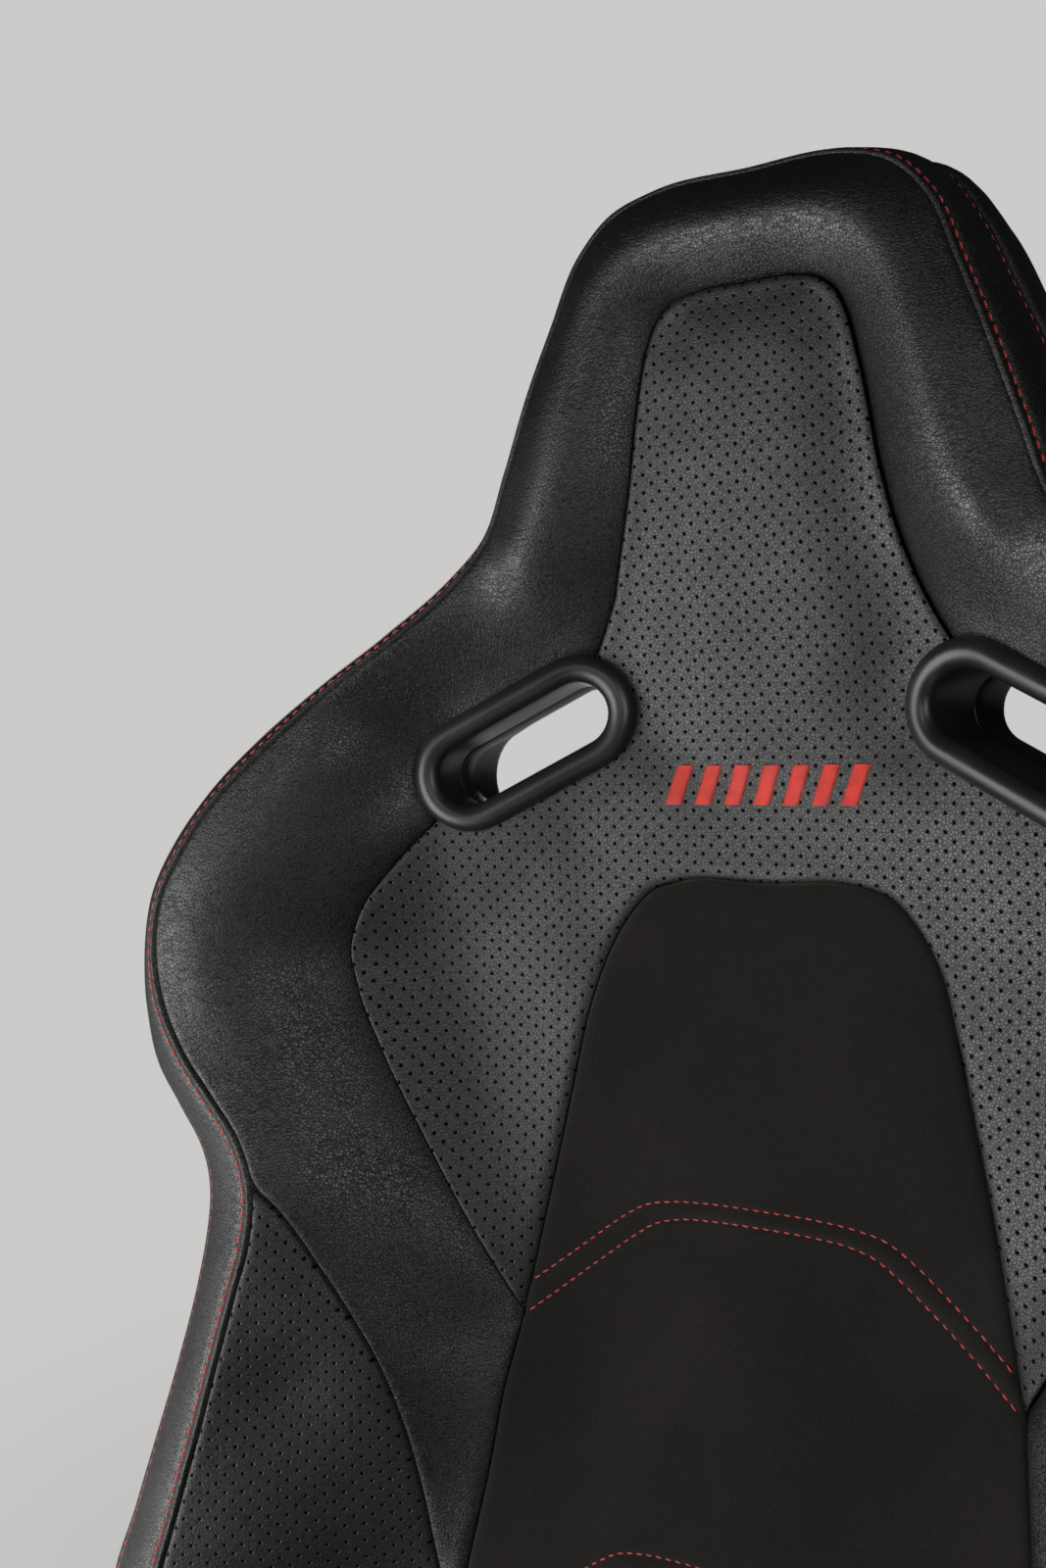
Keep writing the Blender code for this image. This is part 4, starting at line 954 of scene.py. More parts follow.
# ---------------------------------------------------------------- seam lines of the backrest
def slot_arc(upper):
    """The part of the slot's edge above or below the two seams that run into it, neck end first."""
    ring = slot_loop(8.0)
    neck = int(np.hypot(*(ring - NECK_SPOT).T).argmin())
    shoulder = int(np.hypot(*(ring - SHOULDER_SPOT).T).argmin())
    run = [neck]
    while run[-1] != shoulder:
        run.append((run[-1] + (-1 if upper else 1)) % len(ring))
    return ring[run]


UPPER_ARC, LOWER_ARC = slot_arc(True), slot_arc(False)
CORNER = YOKE_EDGE[-1]
PIPE = Curve(whole(PIPING))
PIPE_MIDDLE = len(PIPING) - 1
PIPE_LEFT, PIPE_RIGHT = PIPE_MIDDLE - WAIST, PIPE_MIDDLE + WAIST
HEAD = Curve(whole(plan(HEAD_PANEL) + [tuple(UPPER_ARC[0])]))
ARCH = Curve(whole(plan(INSERT_EDGE[::-1] + [CORNER])))
YOKE = Curve([tuple(UPPER_ARC[-1])] + plan(YOKE_EDGE))
FLANK = Curve(plan([CORNER] + LOWER_INSERT_EDGE + FOOT_EDGE))
FLANK_SPLIT = len(LOWER_INSERT_EDGE)
STRIP = Curve(plan([PIPING[WAIST]] + STRIP_SEAM + [LOWER_INSERT_EDGE[-1]]))


def both(right):
    """Runs of the right side, then their mirror images in reverse, ready to close an outline."""
    return right, [flip(run)[::-1] for run in reversed(right)]


def ring_outline():
    right, left = both([STRIP.run(), FLANK.run(FLANK_SPLIT, 0), YOKE.run(-1, 0), straight(UPPER_ARC)[::-1]])
    return join(PIPE.run(PIPE_LEFT, PIPE_RIGHT), *right, HEAD.run(-1, 0), *left)


def yoke_outline():
    right, left = both([straight(LOWER_ARC), YOKE.run()])
    return join(HEAD.run(), *right, ARCH.run(-1, 0), *left)


def insert_outline():
    flank = FLANK.run()
    foot = straight([flank[-1], flip(flank)[-1]])
    return join(ARCH.run(), flank, foot, flip(flank)[::-1])


def side_outline():
    foot = straight([FLANK.run()[-1], *plan(FOOT_CORNER)])
    return join(foot, PIPE.run(-1, PIPE_RIGHT), STRIP.run(), FLANK.run(FLANK_SPLIT, -1))


def two_sided(line):
    """A sampled line that starts on the centre line, and its mirror image."""
    return np.vstack([flip(line)[:0:-1], line])


def arch_rows(drop, reach):
    """Two stitched rows that arch over the insert; drop lowers them and reach is where they end."""
    upper = Curve([(0, 330), (26, 329.6), (44, 328), (57, 325), (68, 318.5), (84, 306), (113.5, 282.5)])
    lower = Curve([(0, 322.5), (24, 322), (40, 320.5), (52, 317), (62, 310.5), (78, 298), (116, 267)])
    rows = []
    for half in (upper, lower):
        line = half.run(step=2.0)
        slope = line[-1] - line[-6]
        slope /= np.linalg.norm(slope)
        extra = max(0.0, (reach - line[-1, 0]) / slope[0])
        tail = line[-1] + slope * np.arange(2.0, extra, 2.0)[:, None]
        line = np.vstack([line, tail]) - (0.0, drop)
        rows.append(two_sided(line))
    return rows


# ---------------------------------------------------------------- backrest covers
class Backrest:
    """Shape of the padded front: the drawn surface, the sewn rows on the insert and the settled cloth."""

    def __init__(self):
        self.surface = back_surface()
        self.rows = arch_rows(0.0, 0.0) + arch_rows(150.0, 133.0)
        self.runs = [HEAD.run(), ARCH.run()]
        for curve in (YOKE, FLANK, STRIP):
            self.runs += [curve.run(), flip(curve.run())]
        self.swell = self.settle()

    def settle(self):
        outline = foot_run(PIPE.run(step=9.0)[:, :2], 69, 9.0)
        pins = [run[::3] for run in self.runs]
        for grow in (2.0, 13.0):
            loop = straight(closed(slot_loop(grow)), 9.0)
            pins += [loop, flip(loop)]
        return drape("back_cloth", outline, pins, self.surface, back_world, 1.0, 3.0, 0.007, 0.9)

    def insert_depth(self, x, z):
        """Front of the suede insert with its two sewn arches."""
        spots = np.column_stack([x, z])
        return self.surface(x, z) + arch_relief(spots, self.rows[:2]) + arch_relief(spots, self.rows[2:])

    def sewn(self, x, z):
        return self.insert_depth(x, z) + self.swell(np.column_stack([x, z]))

    def settled(self, x, z):
        return self.surface(x, z) + self.swell(np.column_stack([x, z]))


SEWN_SPREAD = (-3.2, -1.6, 0.0, 1.6, 3.2)


def beside(line, reaches):
    """Copies of a plane line at set distances to its left."""
    normal = line_normals(line)
    return [line[:, :2] + normal * reach for reach in reaches]


SIDE_STRETCH = 1.24
# (drop, reach) of the padding's roll into each kind of seam
TIGHT_ROLL, PUFFED_ROLL, STRIP_ROLL = (2.4, 3.2), (6.5, 12.0), (3.6, 6.0)
SEAM_ROLL, INSERT_ROLL = (2.8, 4.0), (3.4, 5.5)
SUEDE_STITCH, LEATHER_STITCH = 3.4, 4.1


def cover_backrest(finish, back):
    """The five covers of the padded front, and the red rows on the insert."""
    head, pipe = [HEAD.run()], [PIPE.run()[:, :2]]
    yoke = [YOKE.run(), flip(YOKE.run())]
    strip = [STRIP.run(), flip(STRIP.run())]
    insert = [ARCH.run(), FLANK.run(), flip(FLANK.run())]
    tight = (pipe, *TIGHT_ROLL)
    ring_rolls = [tight, (head + yoke, *PUFFED_ROLL), (strip + insert[1:], *STRIP_ROLL)]
    yoke_rolls = [(head + yoke, *SEAM_ROLL), (insert[:1], *INSERT_ROLL)]
    side_rolls = [tight, (strip, *SEAM_ROLL), (insert[1:], *INSERT_ROLL)]
    side = side_outline()
    recipe = [
        ("leather_ring_cover", ring_outline(), "leather", ring_rolls, "leather_ring"),
        ("yoke_cover", yoke_outline(), "perforated", yoke_rolls, "yoke_panel"),
        ("side_panel_cover_right", side, "perforated", side_rolls, "side_panel_right"),
        ("side_panel_cover_left", flip(side)[::-1], "perforated", side_rolls, "side_panel_left"),
        ("insert_cover", insert_outline(), "suede", [(insert, *INSERT_ROLL)], "centre_insert"),
    ]
    rows = [copy for row in back.rows for copy in beside(row, SEWN_SPREAD)]
    for name, outline, slot, rolls, node in recipe:
        surface, extra = (back.insert_depth, rows) if slot == "suede" else (back.surface, ())
        stretch = SIDE_STRETCH if name.startswith("side") else 1.0
        piece = panel(name, outline, surface, back_world, finish[slot], BACK, rolls, 4.6, swell=back.swell,
                      extra=extra, stretch=stretch)
        dress(piece, slot, node)
    for number, row in enumerate(back.rows):
        path = Curve(row[inside(row, insert_outline())]).run(step=1.5)
        points, normals = on_surface(path, back.sewn, back_world)
        stitches(f"insert_stitch_row_{number + 1}", points, normals, finish["red"], BACK, SUEDE_STITCH, 0.72)


def motif(finish, back):
    """Seven slanting satin-stitched bars, a plain mark with no lettering."""
    width, height, bars, lean, centre_z = 84.0, 18.0, 7, 6.0, 519.5
    bar_half, thread_radius, thread_pitch = 4.2, 0.30, 0.46
    t = np.linspace(-1, 1, 6)
    size = thread_radius * np.sqrt(np.maximum(1 - t ** 4, 0.03))
    lift = 0.15 + 0.85 * (1 - t ** 2) ** 0.5
    threads = Threads(5)
    for middle in (np.arange(bars) - (bars - 1) / 2) * width / (bars - 1):
        for z in np.arange(-height / 2 + thread_radius, height / 2, thread_pitch):
            line = np.column_stack([middle + lean * z / height + t * bar_half, np.full(len(t), centre_z + z)])
            points, normals = on_surface(line, back.settled, back_world)
            points = points + normals * lift[:, None]
            threads.add(points, np.cross(unit(points[-1] - points[0]), normals), normals, size)
    threads.mesh("yoke_motif", finish["embroidery"], BACK, "perforated")


# ---------------------------------------------------------------- side gusset
# distance in from each seam and height there; the dips at 5.5 and 4.2 are the sewn rows
SEAM_LIP = [
    (-0.9, -5.5), (-0.4, -3.6), (0.0, -2.0), (0.4, -0.7), (0.9, 0.3), (1.6, 0.75), (2.3, 0.6), (2.9, 0.1),
    (3.8, -0.1), (4.7, -0.25), (5.5, -0.65), (6.3, -0.3), (7.4, 0.05), (9.0, 0.1),
]
REAR_LIP = [
    (8.0, 0.1), (6.0, 0.0), (5.0, -0.3), (4.2, -0.7), (3.4, -0.2), (2.5, 0.35), (1.4, 0.5), (0.6, -0.2),
    (0.0, -1.8),
]
# share of the way back to the shell and outward bulge there
SKIRT = [
    (0.004, -0.6), (0.012, 1.0), (0.03, 2.2), (0.08, 3.4), (0.2, 4.6), (0.42, 5.4), (0.65, 5.2),
    (0.84, 4.2), (0.94, 3.0), (0.99, 1.4), (1.0, -0.6), (0.985, -2.6),
]
STITCH_INSET, STITCH_REAR = 5.5, 4.2
# heights at the neck and the gusset's bow there in degrees
NECK_HEIGHTS, GUSSET_BOWS = (590, 650), (38, 25)


class Gusset:
    """The side band: stations along the piping and the outer seam, its section bowed out between them."""

    def __init__(self, step=3.2):
        inner = np.array(whole(PIPING), float)
        outer = np.array(whole(OUTER_SEAM), float)
        knots = chords(inner)
        at = np.linspace(0, knots[-1], int(knots[-1] / step))
        self.near = spline_at(inner, knots, at)
        self.far = spline_at(outer, knots, at)
        self.out = self.flat_normals(self.far)
        self.along = np.gradient(self.near + self.far, axis=0)
        self.trace()

    def flat_normals(self, line):
        normal = line_normals(line)
        return np.column_stack([normal, np.zeros(len(normal))])

    def trace(self):
        """Samples each station's bowed section and its length; the bow is fuller below the neck."""
        out = self.flat_normals(self.near)
        span = self.far - self.near
        size = np.linalg.norm(span, axis=1)
        lean = np.arctan2(-span[:, 2], (span * out).sum(1))
        bow = np.interp(self.near[:, 1], NECK_HEIGHTS, GUSSET_BOWS)
        start = np.maximum(lean - np.radians(bow), math.radians(4.0))
        end = np.minimum(lean + math.radians(24.0), math.radians(85.0))
        back = np.array((0.0, 0.0, -1.0))
        t = np.linspace(0, 1, 41)[:, None, None]
        pull = (size * 1.1)[:, None]
        leave = (out * np.cos(start)[:, None] + back * np.sin(start)[:, None]) * pull
        arrive = (self.out * np.cos(end)[:, None] + back * np.sin(end)[:, None]) * pull
        self.path = hermite(t, self.near, self.far, leave, arrive)
        steps = np.linalg.norm(np.diff(self.path, axis=0), axis=2)
        self.reach = np.vstack([np.zeros(len(size)), np.cumsum(steps, axis=0)])
        self.width = self.reach[-1]
        self.slope = np.gradient(self.path, axis=0)

    def at(self, reach, height):
        """Points at a distance along the section from the piping, and a height above it."""
        rows = []
        for i, distance_in in enumerate(np.broadcast_to(reach, self.width.shape)):
            spot = [np.interp(distance_in, self.reach[:, i], self.path[:, i, k]) for k in range(3)]
            slope = [np.interp(distance_in, self.reach[:, i], self.slope[:, i, k]) for k in range(3)]
            lift = np.cross(self.along[i], slope)
            if distance_in < 0:
                spot = spot + slope / np.linalg.norm(slope) * distance_in
            rows.append(spot + lift / np.linalg.norm(lift) * height)
        return np.array(rows)

    def section(self):
        """Rows of points from the piping over the side to the rear edge, and back along the lining."""
        rows = [self.at(inset, height) for inset, height in SEAM_LIP]
        for share in np.linspace(0.08, 0.92, 7):
            rows.append(self.at(9.0 + (self.width - 17.0) * share, 0.1))
        rows += [self.at(self.width - inset, height) for inset, height in REAR_LIP]
        depth = self.far[:, 2]
        for share, out in SKIRT:
            point = self.far + self.out * out
            point[:, 2] = depth + (GUSSET_REAR - depth) * share
            rows.append(point)
        lining = self.near - self.out * 1.0
        lining[:, 2] = PANEL_REAR
        rows.append(lining)
        return rows


def side_gusset(finish):
    band = Gusset()
    rows = np.stack(band.section(), axis=1)
    world = back_world(rows[..., 0], rows[..., 1], rows[..., 2])
    dress(loft("gusset_cover", world, finish["gusset"], BACK, sharp=55.0), "leather", "side_gusset")
    fine = Gusset(1.8)
    lines = (("gusset_stitch_inner", STITCH_INSET), ("gusset_stitch_outer", fine.width - STITCH_REAR))
    for name, reach in lines:
        low, high = fine.at(reach, -0.5), fine.at(reach, 0.5)
        points = back_world(*low.T)
        stitches(name, points, back_world(*high.T) - points, finish["red"], BACK, LEATHER_STITCH, 1.05)


# ---------------------------------------------------------------- harness bezels
def bezel_row(side, grow, height, tilted):
    """The opening's outline grown and raised, in its own tilted plane or square to the back."""
    loop = slot_loop(grow, 20, 0.0 if tilted else REAR_SHIFT)
    x, z = loop[:, 0], loop[:, 1]
    if not tilted:
        return back_world(side * x, z, np.full(len(x), height))
    across = x - SLOT_CENTRE[0]
    out = SLOT_CENTRE[0] + across * math.cos(SLOT_TILT) - height * math.sin(SLOT_TILT)
    depth = SLOT_DEPTH + across * math.sin(SLOT_TILT) + height * math.cos(SLOT_TILT)
    return back_world(side * out, z, depth)


def front_bezel():
    """Section of the front half: a thick rounded lip over a plain throat, (grow, height) pairs."""
    rows = [(0.35, -32.0), (0.0, -31.4)]
    turns = np.linspace(0, math.pi, 17)
    rows += [(BEZEL - BEZEL * math.cos(a), BEZEL * math.sin(a)) for a in turns]
    rows += [(12.6, -1.8), (11.2, -4.4), (BEZEL, -BEZEL), (2.2, -BEZEL), (2.2, -32.0)]
    return [(grow, height, True) for grow, height in rows]


def rear_bezel():
    """Section of the rear half: the throat carried back, turned out into a dished flange."""
    throat = [(0.35, -32.3), (0.0, -32.9), (0.0, -53.5), (0.5, -56.8), (2.0, -59.6), (4.8, -62.0)]
    flange = [(8.4, -65.0), (9.8, -68.6), (11.2, -72.6), (14.4, -76.0), (20.0, -79.6), (24.4, -83.6),
              (27.4, -86.6), (29.6, -87.4), (31.0, -86.8), (31.2, -84.6), (27.0, -84.4), (21.0, -77.0),
              (12.2, -71.0), (9.8, -60.4)]
    outside = [(4.6, -59.2), (2.2, -55.0), (2.2, -32.3)]
    parts = ((throat, True), (flange, False), (outside, True))
    return [(grow, height, tilted) for rows, tilted in parts for grow, height in rows]


def harness_bezels(finish):
    for word, side in (("left", -1), ("right", 1)):
        for half, section in (("front", front_bezel()), ("rear", rear_bezel())):
            rows = [bezel_row(side, *entry) for entry in section]
            piece = loft(f"bezel_{half}_{word}_moulding", rows, finish["bezel"], BACK, loop=True, sharp=60.0)
            dress(piece, "plastic", f"bezel_{half}_{word}")


# ---------------------------------------------------------------- back of the backrest
def shell_outline():
    """Outline of the back moulding, just outside the gusset's rear seam."""
    outer = np.array(whole(OUTER_SEAM), float)
    rear = outer[:, :2] + line_normals(outer) * 2.6
    half = [tuple(p) for p in rear[len(OUTER_SEAM):-1]]
    run = Curve(whole([(0.0, rear[len(OUTER_SEAM) - 1, 1])] + half)).run()
    return foot_run(run, 60)


SHELL_FIELD = [
    (0, 748), (48, 742), (74, 705), (92, 650), (112, 600), (84, 560), (66, 520), (84, 486), (140, 468),
    (206, 446), (234, 414), (214, 370), (176, 320), (170, 240), (176, 150), (160, 60), (120, 30), (0, 26),
]


def back_shell(finish):
    """Domed moulding with a raised field and flat landings round the harness openings."""
    outline = shell_outline()
    opening = boundary(slot_loop(27.5, 20, REAR_SHIFT))
    landing = slot_loop(34.0, 20, REAR_SHIFT)
    loops = [closed(outline), closed(landing), flip(closed(landing))]
    frame_line = closed(Curve(whole(SHELL_FIELD)).run(step=3.0))

    def depth(x, z):
        spots = np.column_stack([x, z])
        flat = inside(np.column_stack([np.abs(x), z]), landing)
        reach = np.where(flat, 0.0, np.minimum(distance(spots, loops) / 70.0, 1.0))
        dome = SHELL_EDGE + (SHELL_DOME - SHELL_EDGE) * reach * (2 - reach)
        gap = distance(spots, [frame_line])
        raised = np.where(inside(spots, frame_line[:-1]), 1.0, 0.0) * np.clip(gap / 5.0, 0, 1)
        return dome - 1.6 * raised - groove(gap, 1.0, 2.4)

    extra = beside(frame_line, (-4.5, -2.4, 0.0, 2.4, 4.5))
    roll = [([closed(outline)], 3.6, 5.0)]
    piece = panel("back_shell_moulding", outline, depth, back_world, finish["plastic"], BACK, roll, 6.5,
                  GUSSET_REAR - 1.0, -1.0, [opening, flip(opening)[::-1]], extra=extra, gap=0.0)
    dress(piece, "plastic", "back_shell")


FLAP_HALF, FLAP_THICK = 178.0, 1.8
FLAP_LINE = [(-10.0, -13.0), (-18.0, -10.5), (-28.0, -11.5), (-37.0, -14.5), (-43.0, -18.0)]


def foot_flap(finish):
    """Leather tail sewn under the foot of the backrest, which closes the view between it and the cushion."""
    line = Curve(FLAP_LINE).run(step=1.5)
    offset = line_normals(line) * FLAP_THICK
    section = np.vstack([line + offset, (line - offset)[::-1]])
    top = FLAP_LINE[0][0]
    rows = []
    for x in np.linspace(-FLAP_HALF, FLAP_HALF, 61):
        ease = 1.0 - 0.12 * (abs(x) / FLAP_HALF) ** 6
        ripple = 0.5 * math.sin(x / 19.0)
        rows.append([back_world(x, top + (z - top) * ease, d + ripple) for z, d in section])
    dress(loft("foot_flap", rows, finish["leather"], BACK), "leather")


def back_foam(finish):
    """Foam core behind the covers, with a tunnel at each harness opening."""
    tunnel = boundary(slot_loop(17.0, 14, REAR_SHIFT * 0.7))
    outline = foot_run(PIPE.run(1, -2)[:, :2], 71)

    def front(x, z):
        return np.full(len(x), PANEL_REAR - 1.5)

    roll = [([closed(outline)], 4.0, 6.0)]
    piece = panel("back_foam_core", outline, front, back_world, finish["foam"], BACK, roll, 14.0, -44.0,
                  holes=[tunnel, flip(tunnel)[::-1]], gap=2.0)
    dress(piece, "foam", "back_foam")


# ---------------------------------------------------------------- cushion
CREST_SEAM = [(226, 104), (228, 140), (229, 220), (229, 330), (228, 420), (221, 462), (203, 487), (172, 499)]
CUSHION_ARCH = [(0, 262), (24, 262.5), (42, 264.5), (56, 269), (70, 279), (104, 306), (139, 334)]
ARCH_BAND = 7.6
NOSE_CORNER = 505
SIDE_ROLL = (9.0, 13.0)


class Cushion:
    """Shape of the seat cushion with its sewn rows and settled cloth."""

    def __init__(self):
        self.crest = Curve(CREST_SEAM).run(step=2.0)
        self.rows = self.arches()
        self.inner = straight([(INSERT_HALF, CUSHION_REAR), (INSERT_HALF, 521)], 4.0)
        self.nose = straight([(-INSERT_HALF, NOSE_SEAM), (INSERT_HALF, NOSE_SEAM)], 4.0)
        self.swell = self.settle()

    def arches(self):
        line = Curve(CUSHION_ARCH).run(step=2.0)
        return [two_sided(line), two_sided(line - (0.0, ARCH_BAND))]

    def settle(self):
        sheet = [[(-232, 90), (232, 90)], [(243, 120), (243, 430)],
                 [(225, 485), (120, 515), (-120, 515), (-225, 485)], [(-243, 430), (-243, 120)]]
        outline = join(*(straight(run, 9.0) for run in sheet))
        pins = [straight([(side * INSERT_HALF, 96), (side * INSERT_HALF, 510)], 9.0) for side in (-1, 1)]
        pins += [self.nose[::3], self.crest[::5], flip(self.crest[::5])]
        return drape("seat_cloth", outline, pins, cushion_surface, seat_world, -1.0, 5.0, 0.02, 1.8)

    def top(self, x, f):
        """Top with its crest seams pressed in and the sewn arch raised on the insert."""
        spots = np.column_stack([x, f])
        seam = groove(distance(spots, [self.crest, flip(self.crest)]), 2.2, 1.8)
        arch = np.where(np.abs(x) < INSERT_HALF, arch_relief(spots, self.rows), 0.0)
        return cushion_surface(x, f) + seam + arch

    def sewn(self, x, f):
        return self.top(x, f) + self.swell(np.column_stack([x, f]))


def cushion_outlines():
    """Plans of the insert, the nose and the right bolster, with the curved edges of the last two."""
    insert = boundary([(-INSERT_HALF, CUSHION_REAR), (INSERT_HALF, CUSHION_REAR),
                       (INSERT_HALF, NOSE_SEAM), (-INSERT_HALF, NOSE_SEAM)])
    half_front = [(0, CUSHION_FRONT), (60, 529), (100, 524), (126, 514), (INSERT_HALF, NOSE_CORNER)]
    front = Curve(whole(half_front)).run()
    nose = straight([(INSERT_HALF, NOSE_CORNER), (INSERT_HALF, NOSE_SEAM), (-INSERT_HALF, NOSE_SEAM),
                     (-INSERT_HALF, NOSE_CORNER)])
    side = Curve(BOLSTER_OUTLINE[1:-1]).run()
    bolster = join(straight([BOLSTER_OUTLINE[-1], BOLSTER_OUTLINE[0]]), side)
    return insert, join(nose, front), bolster, front, side


def cushion_covers(finish):
    seat = Cushion()
    insert, nose, bolster, front, side = cushion_outlines()
    inner = [seat.inner, flip(seat.inner), seat.nose]
    arch = [copy for row in seat.rows for copy in beside(row, SEWN_SPREAD)]
    crest = beside(seat.crest, (-3.6, -1.8, 0.0, 1.8, 3.6))
    skirt = ((0.12, 1.6), (0.35, 4.2), (0.6, 4.6), (0.85, 3.0), (0.96, 1.0), (1.0, -1.5))
    seams, nose_edge = (inner, 5.0, 8.5), ([front], 9.0, 16.0)
    recipe = [
        ("insert", insert, "suede", arch, [seams]),
        ("nose", nose, "leather", (), [seams, nose_edge]),
        ("bolster_right", bolster, "leather", crest, [seams, ([side], *SIDE_ROLL)]),
        ("bolster_left", flip(bolster)[::-1], "leather", [flip(c) for c in crest],
         [seams, ([flip(side)], *SIDE_ROLL)]),
    ]

    def outer_bulge(points):
        return np.clip(distance(points, inner) / 14.0, 0, 1)

    for word, outline, slot, extra, rolls in recipe:
        kind, _, hand = word.partition("_")
        name = f"cushion_{kind}_cover" + (f"_{hand}" if hand else "")
        piece = panel(name, outline, seat.top, seat_world, finish[slot], SEAT, rolls, 5.0, CUSHION_BOTTOM,
                      swell=seat.swell, extra=extra, skirt=skirt, bulge=outer_bulge)
        dress(piece, slot, f"cushion_{word}")
    cushion_stitching(finish, seat)
    cushion_base(finish)


def cushion_stitching(finish, seat):
    for word, side in (("left", -1), ("right", 1)):
        for number, line in enumerate(beside(seat.crest * (side, 1.0), (-4.6, 4.6))):
            points, normals = on_surface(line, seat.sewn, seat_world, -1.0)
            name = f"bolster_stitch_{word}_{number + 1}"
            stitches(name, points, normals, finish["red"], SEAT, LEATHER_STITCH, 1.05)
    for number, row in enumerate(seat.rows):
        path = Curve(row[np.abs(row[:, 0]) < INSERT_HALF - 5.0]).run(step=1.5)
        points, normals = on_surface(path, seat.sewn, seat_world, -1.0)
        stitches(f"cushion_stitch_row_{number + 1}", points, normals, finish["red"], SEAT, SUEDE_STITCH, 0.8)


def cushion_base(finish):
    """Foam slab in its backing cloth under the cushion covers."""
    outline = boundary([(-186, 72), (186, 72), (186, 466), (-186, 466)])

    def top(x, f):
        return np.full(len(x), CUSHION_BOTTOM - 1.5)

    rolls = [([closed(outline)], 5.0, 7.0)]
    skirt = ((0.3, 2.0), (0.7, 2.0), (1.0, -2.0))
    piece = panel("cushion_base_cloth", outline, top, seat_world, finish["cloth"], SEAT, rolls, 14.0, -61.5,
                  skirt=skirt, gap=2.0)
    dress(piece, "foam", "cushion_foam")


# ---------------------------------------------------------------- rigid pieces kept from the frame
RIGID = {
    "plastic": ["side_cover", "recline_lever", "glide_shoe", "rail_cap"],
    "frame": ["side_member", "cross_tube", "seat_pan", "back_hoop", "back_cross_tube", "slide_bail"],
    "zinc": [
        "rail_lower", "rail_upper", "recliner_plate", "recliner_bolt", "recliner_arm", "pawl", "release_rod",
        "slide_latch",
    ],
    "spring": ["recliner_spring", "lumbar_spring"],
}
# width in millimetres of the bevel on the edges of each kind of piece
SOFTENED = {
    "side_cover": 1.6, "recline_lever": 2.6, "rail_cap": 1.4, "recliner_plate": 0.6, "seat_pan": 0.5,
    "side_member": 0.6, "rail_lower": 0.35, "rail_upper": 0.35, "glide_shoe": 0.6,
}


def finish_rigid(finish):
    """Gives the frame's own pieces their finish, and breaks their sharp edges."""
    for slot, starts in RIGID.items():
        for name, node in frame["nodes"].items():
            start = next((s for s in starts if name.startswith(s)), None)
            if start is None:
                continue
            node.data.materials.clear()
            node.data.materials.append(finish[slot])
            if start in SOFTENED:
                soften(node, SOFTENED[start])


def soften(node, width):
    """Bevels a node's edges with modifiers, which leave its own mesh as it is."""
    weld = node.modifiers.new("weld", "WELD")
    weld.merge_threshold = 0.02 * MM
    bevel = node.modifiers.new("edge", "BEVEL")
    bevel.width = width * MM
    bevel.segments = 3
    bevel.limit_method = "ANGLE"
    bevel.angle_limit = math.radians(35.0)
    bevel.use_clamp_overlap = True
    normals = node.modifiers.new("normals", "WEIGHTED_NORMAL")
    normals.keep_sharp = True


# ---------------------------------------------------------------- stage, light and camera
PALE = (0.60, 0.595, 0.585, 1.0)
# distances in metres between which the floor fades to an even tone
SEAT_REACH, COVE_REACH = 0.3, 1.25
FLOOR_RADIUS, FLOOR_SIDES = 40000.0, 96


def stage():
    """Round pale floor that fades into an even pale surround, as in a white studio cove."""
    finish = Finish("pale_floor", roughness=0.85, specular=0.2)
    tone = finish.remap(finish.noise(finish.place(), 1.5, 3.0), 0.3, 0.7, 0.98, 1.02)
    finish.set("colour", finish.add("HueSaturation", {"Color": (0.74, 0.735, 0.72, 1.0), "Value": tone}))
    reach = finish.add("VectorMath", {0: finish.place((1.0, 1.0, 0.0))}, "Value", operation="LENGTH")
    far = finish.remap(reach, SEAT_REACH, COVE_REACH, 0.5, 1.0)
    seen = finish.add("LightPath", {}, "Is Camera Ray")
    glow = finish.add("Emission", {"Color": PALE})
    output = finish.nodes["Material Output"]
    share = finish.times(far, seen)
    surface = finish.add("MixShader", {0: share, 1: finish.shader.outputs[0], 2: glow})
    finish.wire(surface, output.inputs["Surface"])
    turns = [2 * math.pi * i / FLOOR_SIDES for i in range(FLOOR_SIDES)]
    rim = [(FLOOR_RADIUS * math.cos(turn), FLOOR_RADIUS * math.sin(turn), 0.0) for turn in turns]
    make_mesh("floor", rim, [list(range(FLOOR_SIDES))], finish.material)


# name, bearing from the padded front and height angle in degrees, distance in mm, size in m, power in W
SOFTBOXES = [
    ("left_softbox", -35.0, -15.0, 1600.0, (1.2, 1.3), 29.0),
    ("front_softbox", 16.0, 14.0, 1900.0, (0.8, 0.7), 4.5),
    ("side_softbox", -74.0, -4.0, 1700.0, (1.0, 1.3), 3.0),
    ("right_softbox", 58.0, 10.0, 1700.0, (0.9, 0.9), 8.0),
    ("rear_softbox", -140.0, 10.0, 2200.0, (1.2, 1.4), 9.0),
]
AMBIENT = (0.012, 0.012, 0.0125, 1.0)
LIT_SPOT = (0.0, 560.0, 20.0)


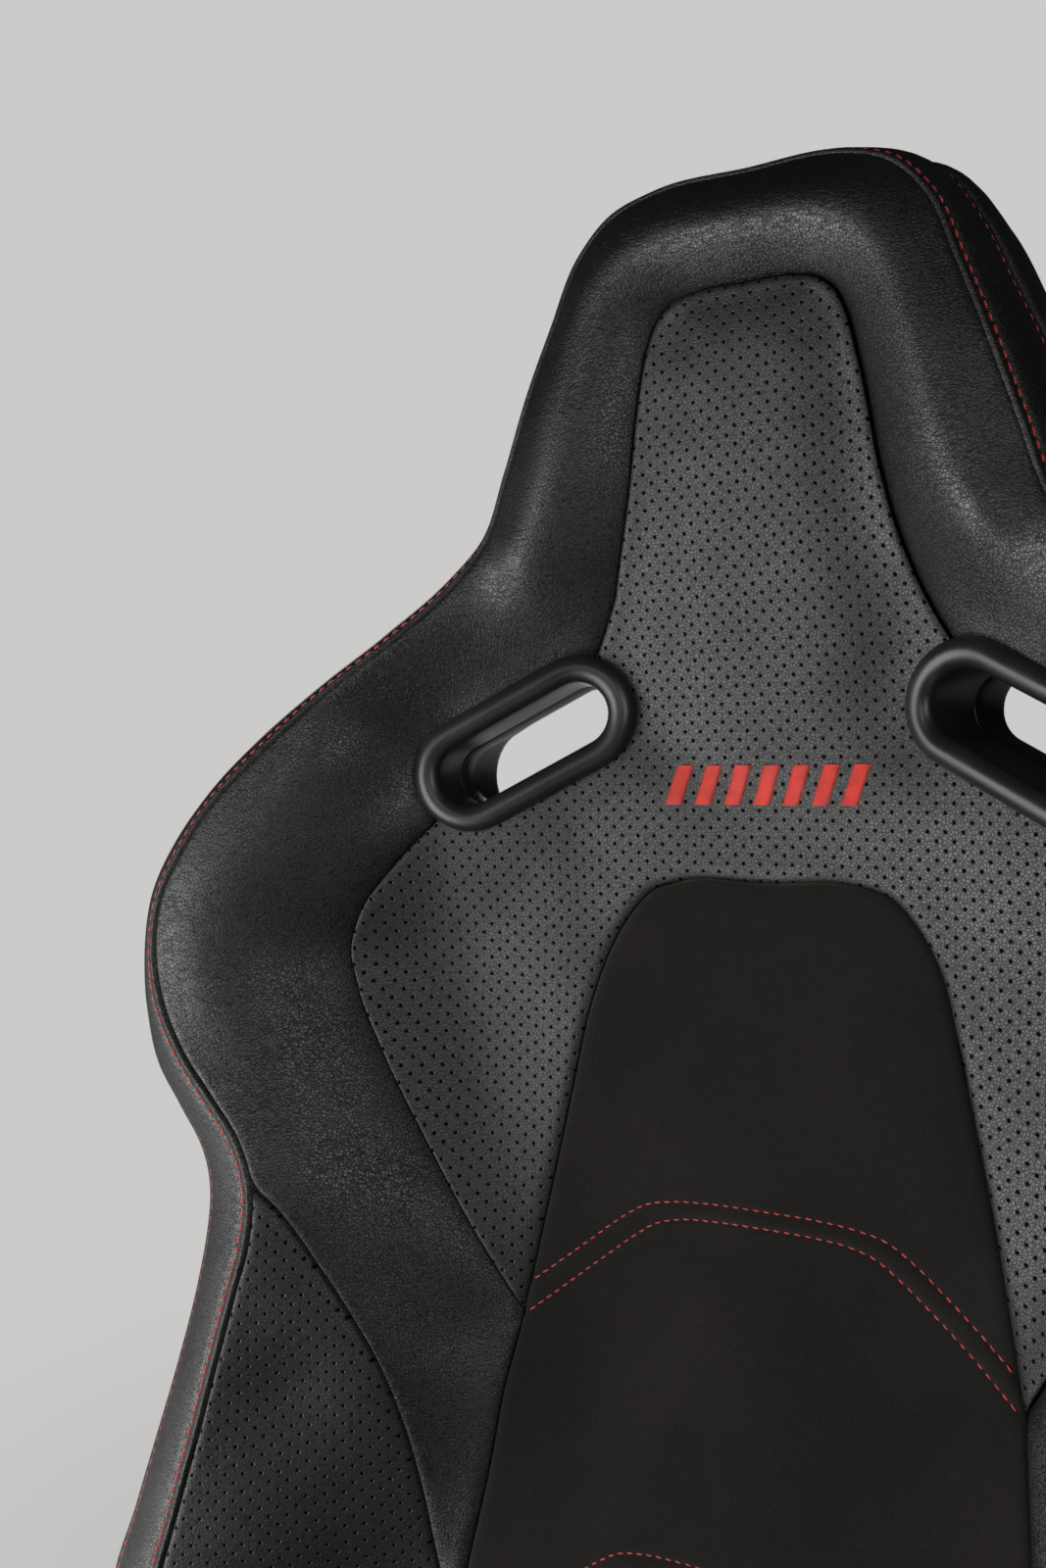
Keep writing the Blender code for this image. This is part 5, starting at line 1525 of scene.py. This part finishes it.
def softbox(name, turn, rise, reach, size, power):
    """Rectangular light aimed at the middle of the backrest."""
    turn, rise = math.radians(turn), math.radians(rise)
    x = reach * math.sin(turn) * math.cos(rise)
    z = reach * math.sin(rise)
    d = reach * math.cos(turn) * math.cos(rise)
    target = Vector(back_world(*LIT_SPOT)) * MM
    spot = Vector(back_world(LIT_SPOT[0] + x, LIT_SPOT[1] + z, LIT_SPOT[2] + d)) * MM
    data = bpy.data.lights.new(name, "AREA")
    data.shape = "RECTANGLE"
    data.size, data.size_y = size
    data.energy = power
    light = bpy.data.objects.new(name, data)
    light.location = spot
    light.rotation_euler = (target - spot).to_track_quat("-Z", "Y").to_euler()
    bpy.context.scene.collection.objects.link(light)


def surround():
    """Pale to the camera, dim as a light source."""
    world = bpy.data.worlds.new("studio")
    world.use_nodes = True
    nodes, links = world.node_tree.nodes, world.node_tree.links
    background = nodes["Background"]
    path = nodes.new("ShaderNodeLightPath")
    mix = nodes.new("ShaderNodeMix")
    mix.data_type = "RGBA"
    mix.inputs[6].default_value = AMBIENT
    mix.inputs[7].default_value = PALE
    links.new(path.outputs["Is Camera Ray"], mix.inputs[0])
    links.new(mix.outputs[2], background.inputs["Color"])
    bpy.context.scene.world = world


def lights():
    surround()
    for entry in SOFTBOXES:
        softbox(*entry)
    bpy.context.scene.view_settings.view_transform = "Standard"


VIEW_SPOT = (261.5, 520.0, 636.8)
VIEW_TURN = math.radians(31.3)


def camera():
    """Looks at the backrest from a little to its left-hand side, level with its own front face."""
    spot = back_world(*VIEW_SPOT)
    right = math.cos(VIEW_TURN) * SIDE - math.sin(VIEW_TURN) * FRONT
    back = math.sin(VIEW_TURN) * SIDE + math.cos(VIEW_TURN) * FRONT
    data = bpy.data.cameras.new("camera")
    data.lens = 35.0
    data.sensor_width = 36.0
    data.clip_start = 0.05
    lens = bpy.data.objects.new("camera", data)
    turn = Matrix((right, UP, back)).transposed().to_4x4()
    lens.matrix_world = Matrix.Translation(Vector(spot) * MM) @ turn
    bpy.context.scene.collection.objects.link(lens)
    bpy.context.scene.camera = lens


def build():
    finish = make_finishes()
    back = Backrest()
    cover_backrest(finish, back)
    motif(finish, back)
    side_gusset(finish)
    harness_bezels(finish)
    back_shell(finish)
    back_foam(finish)
    foot_flap(finish)
    cushion_covers(finish)
    finish_rigid(finish)
    stage()
    lights()
    camera()


build()
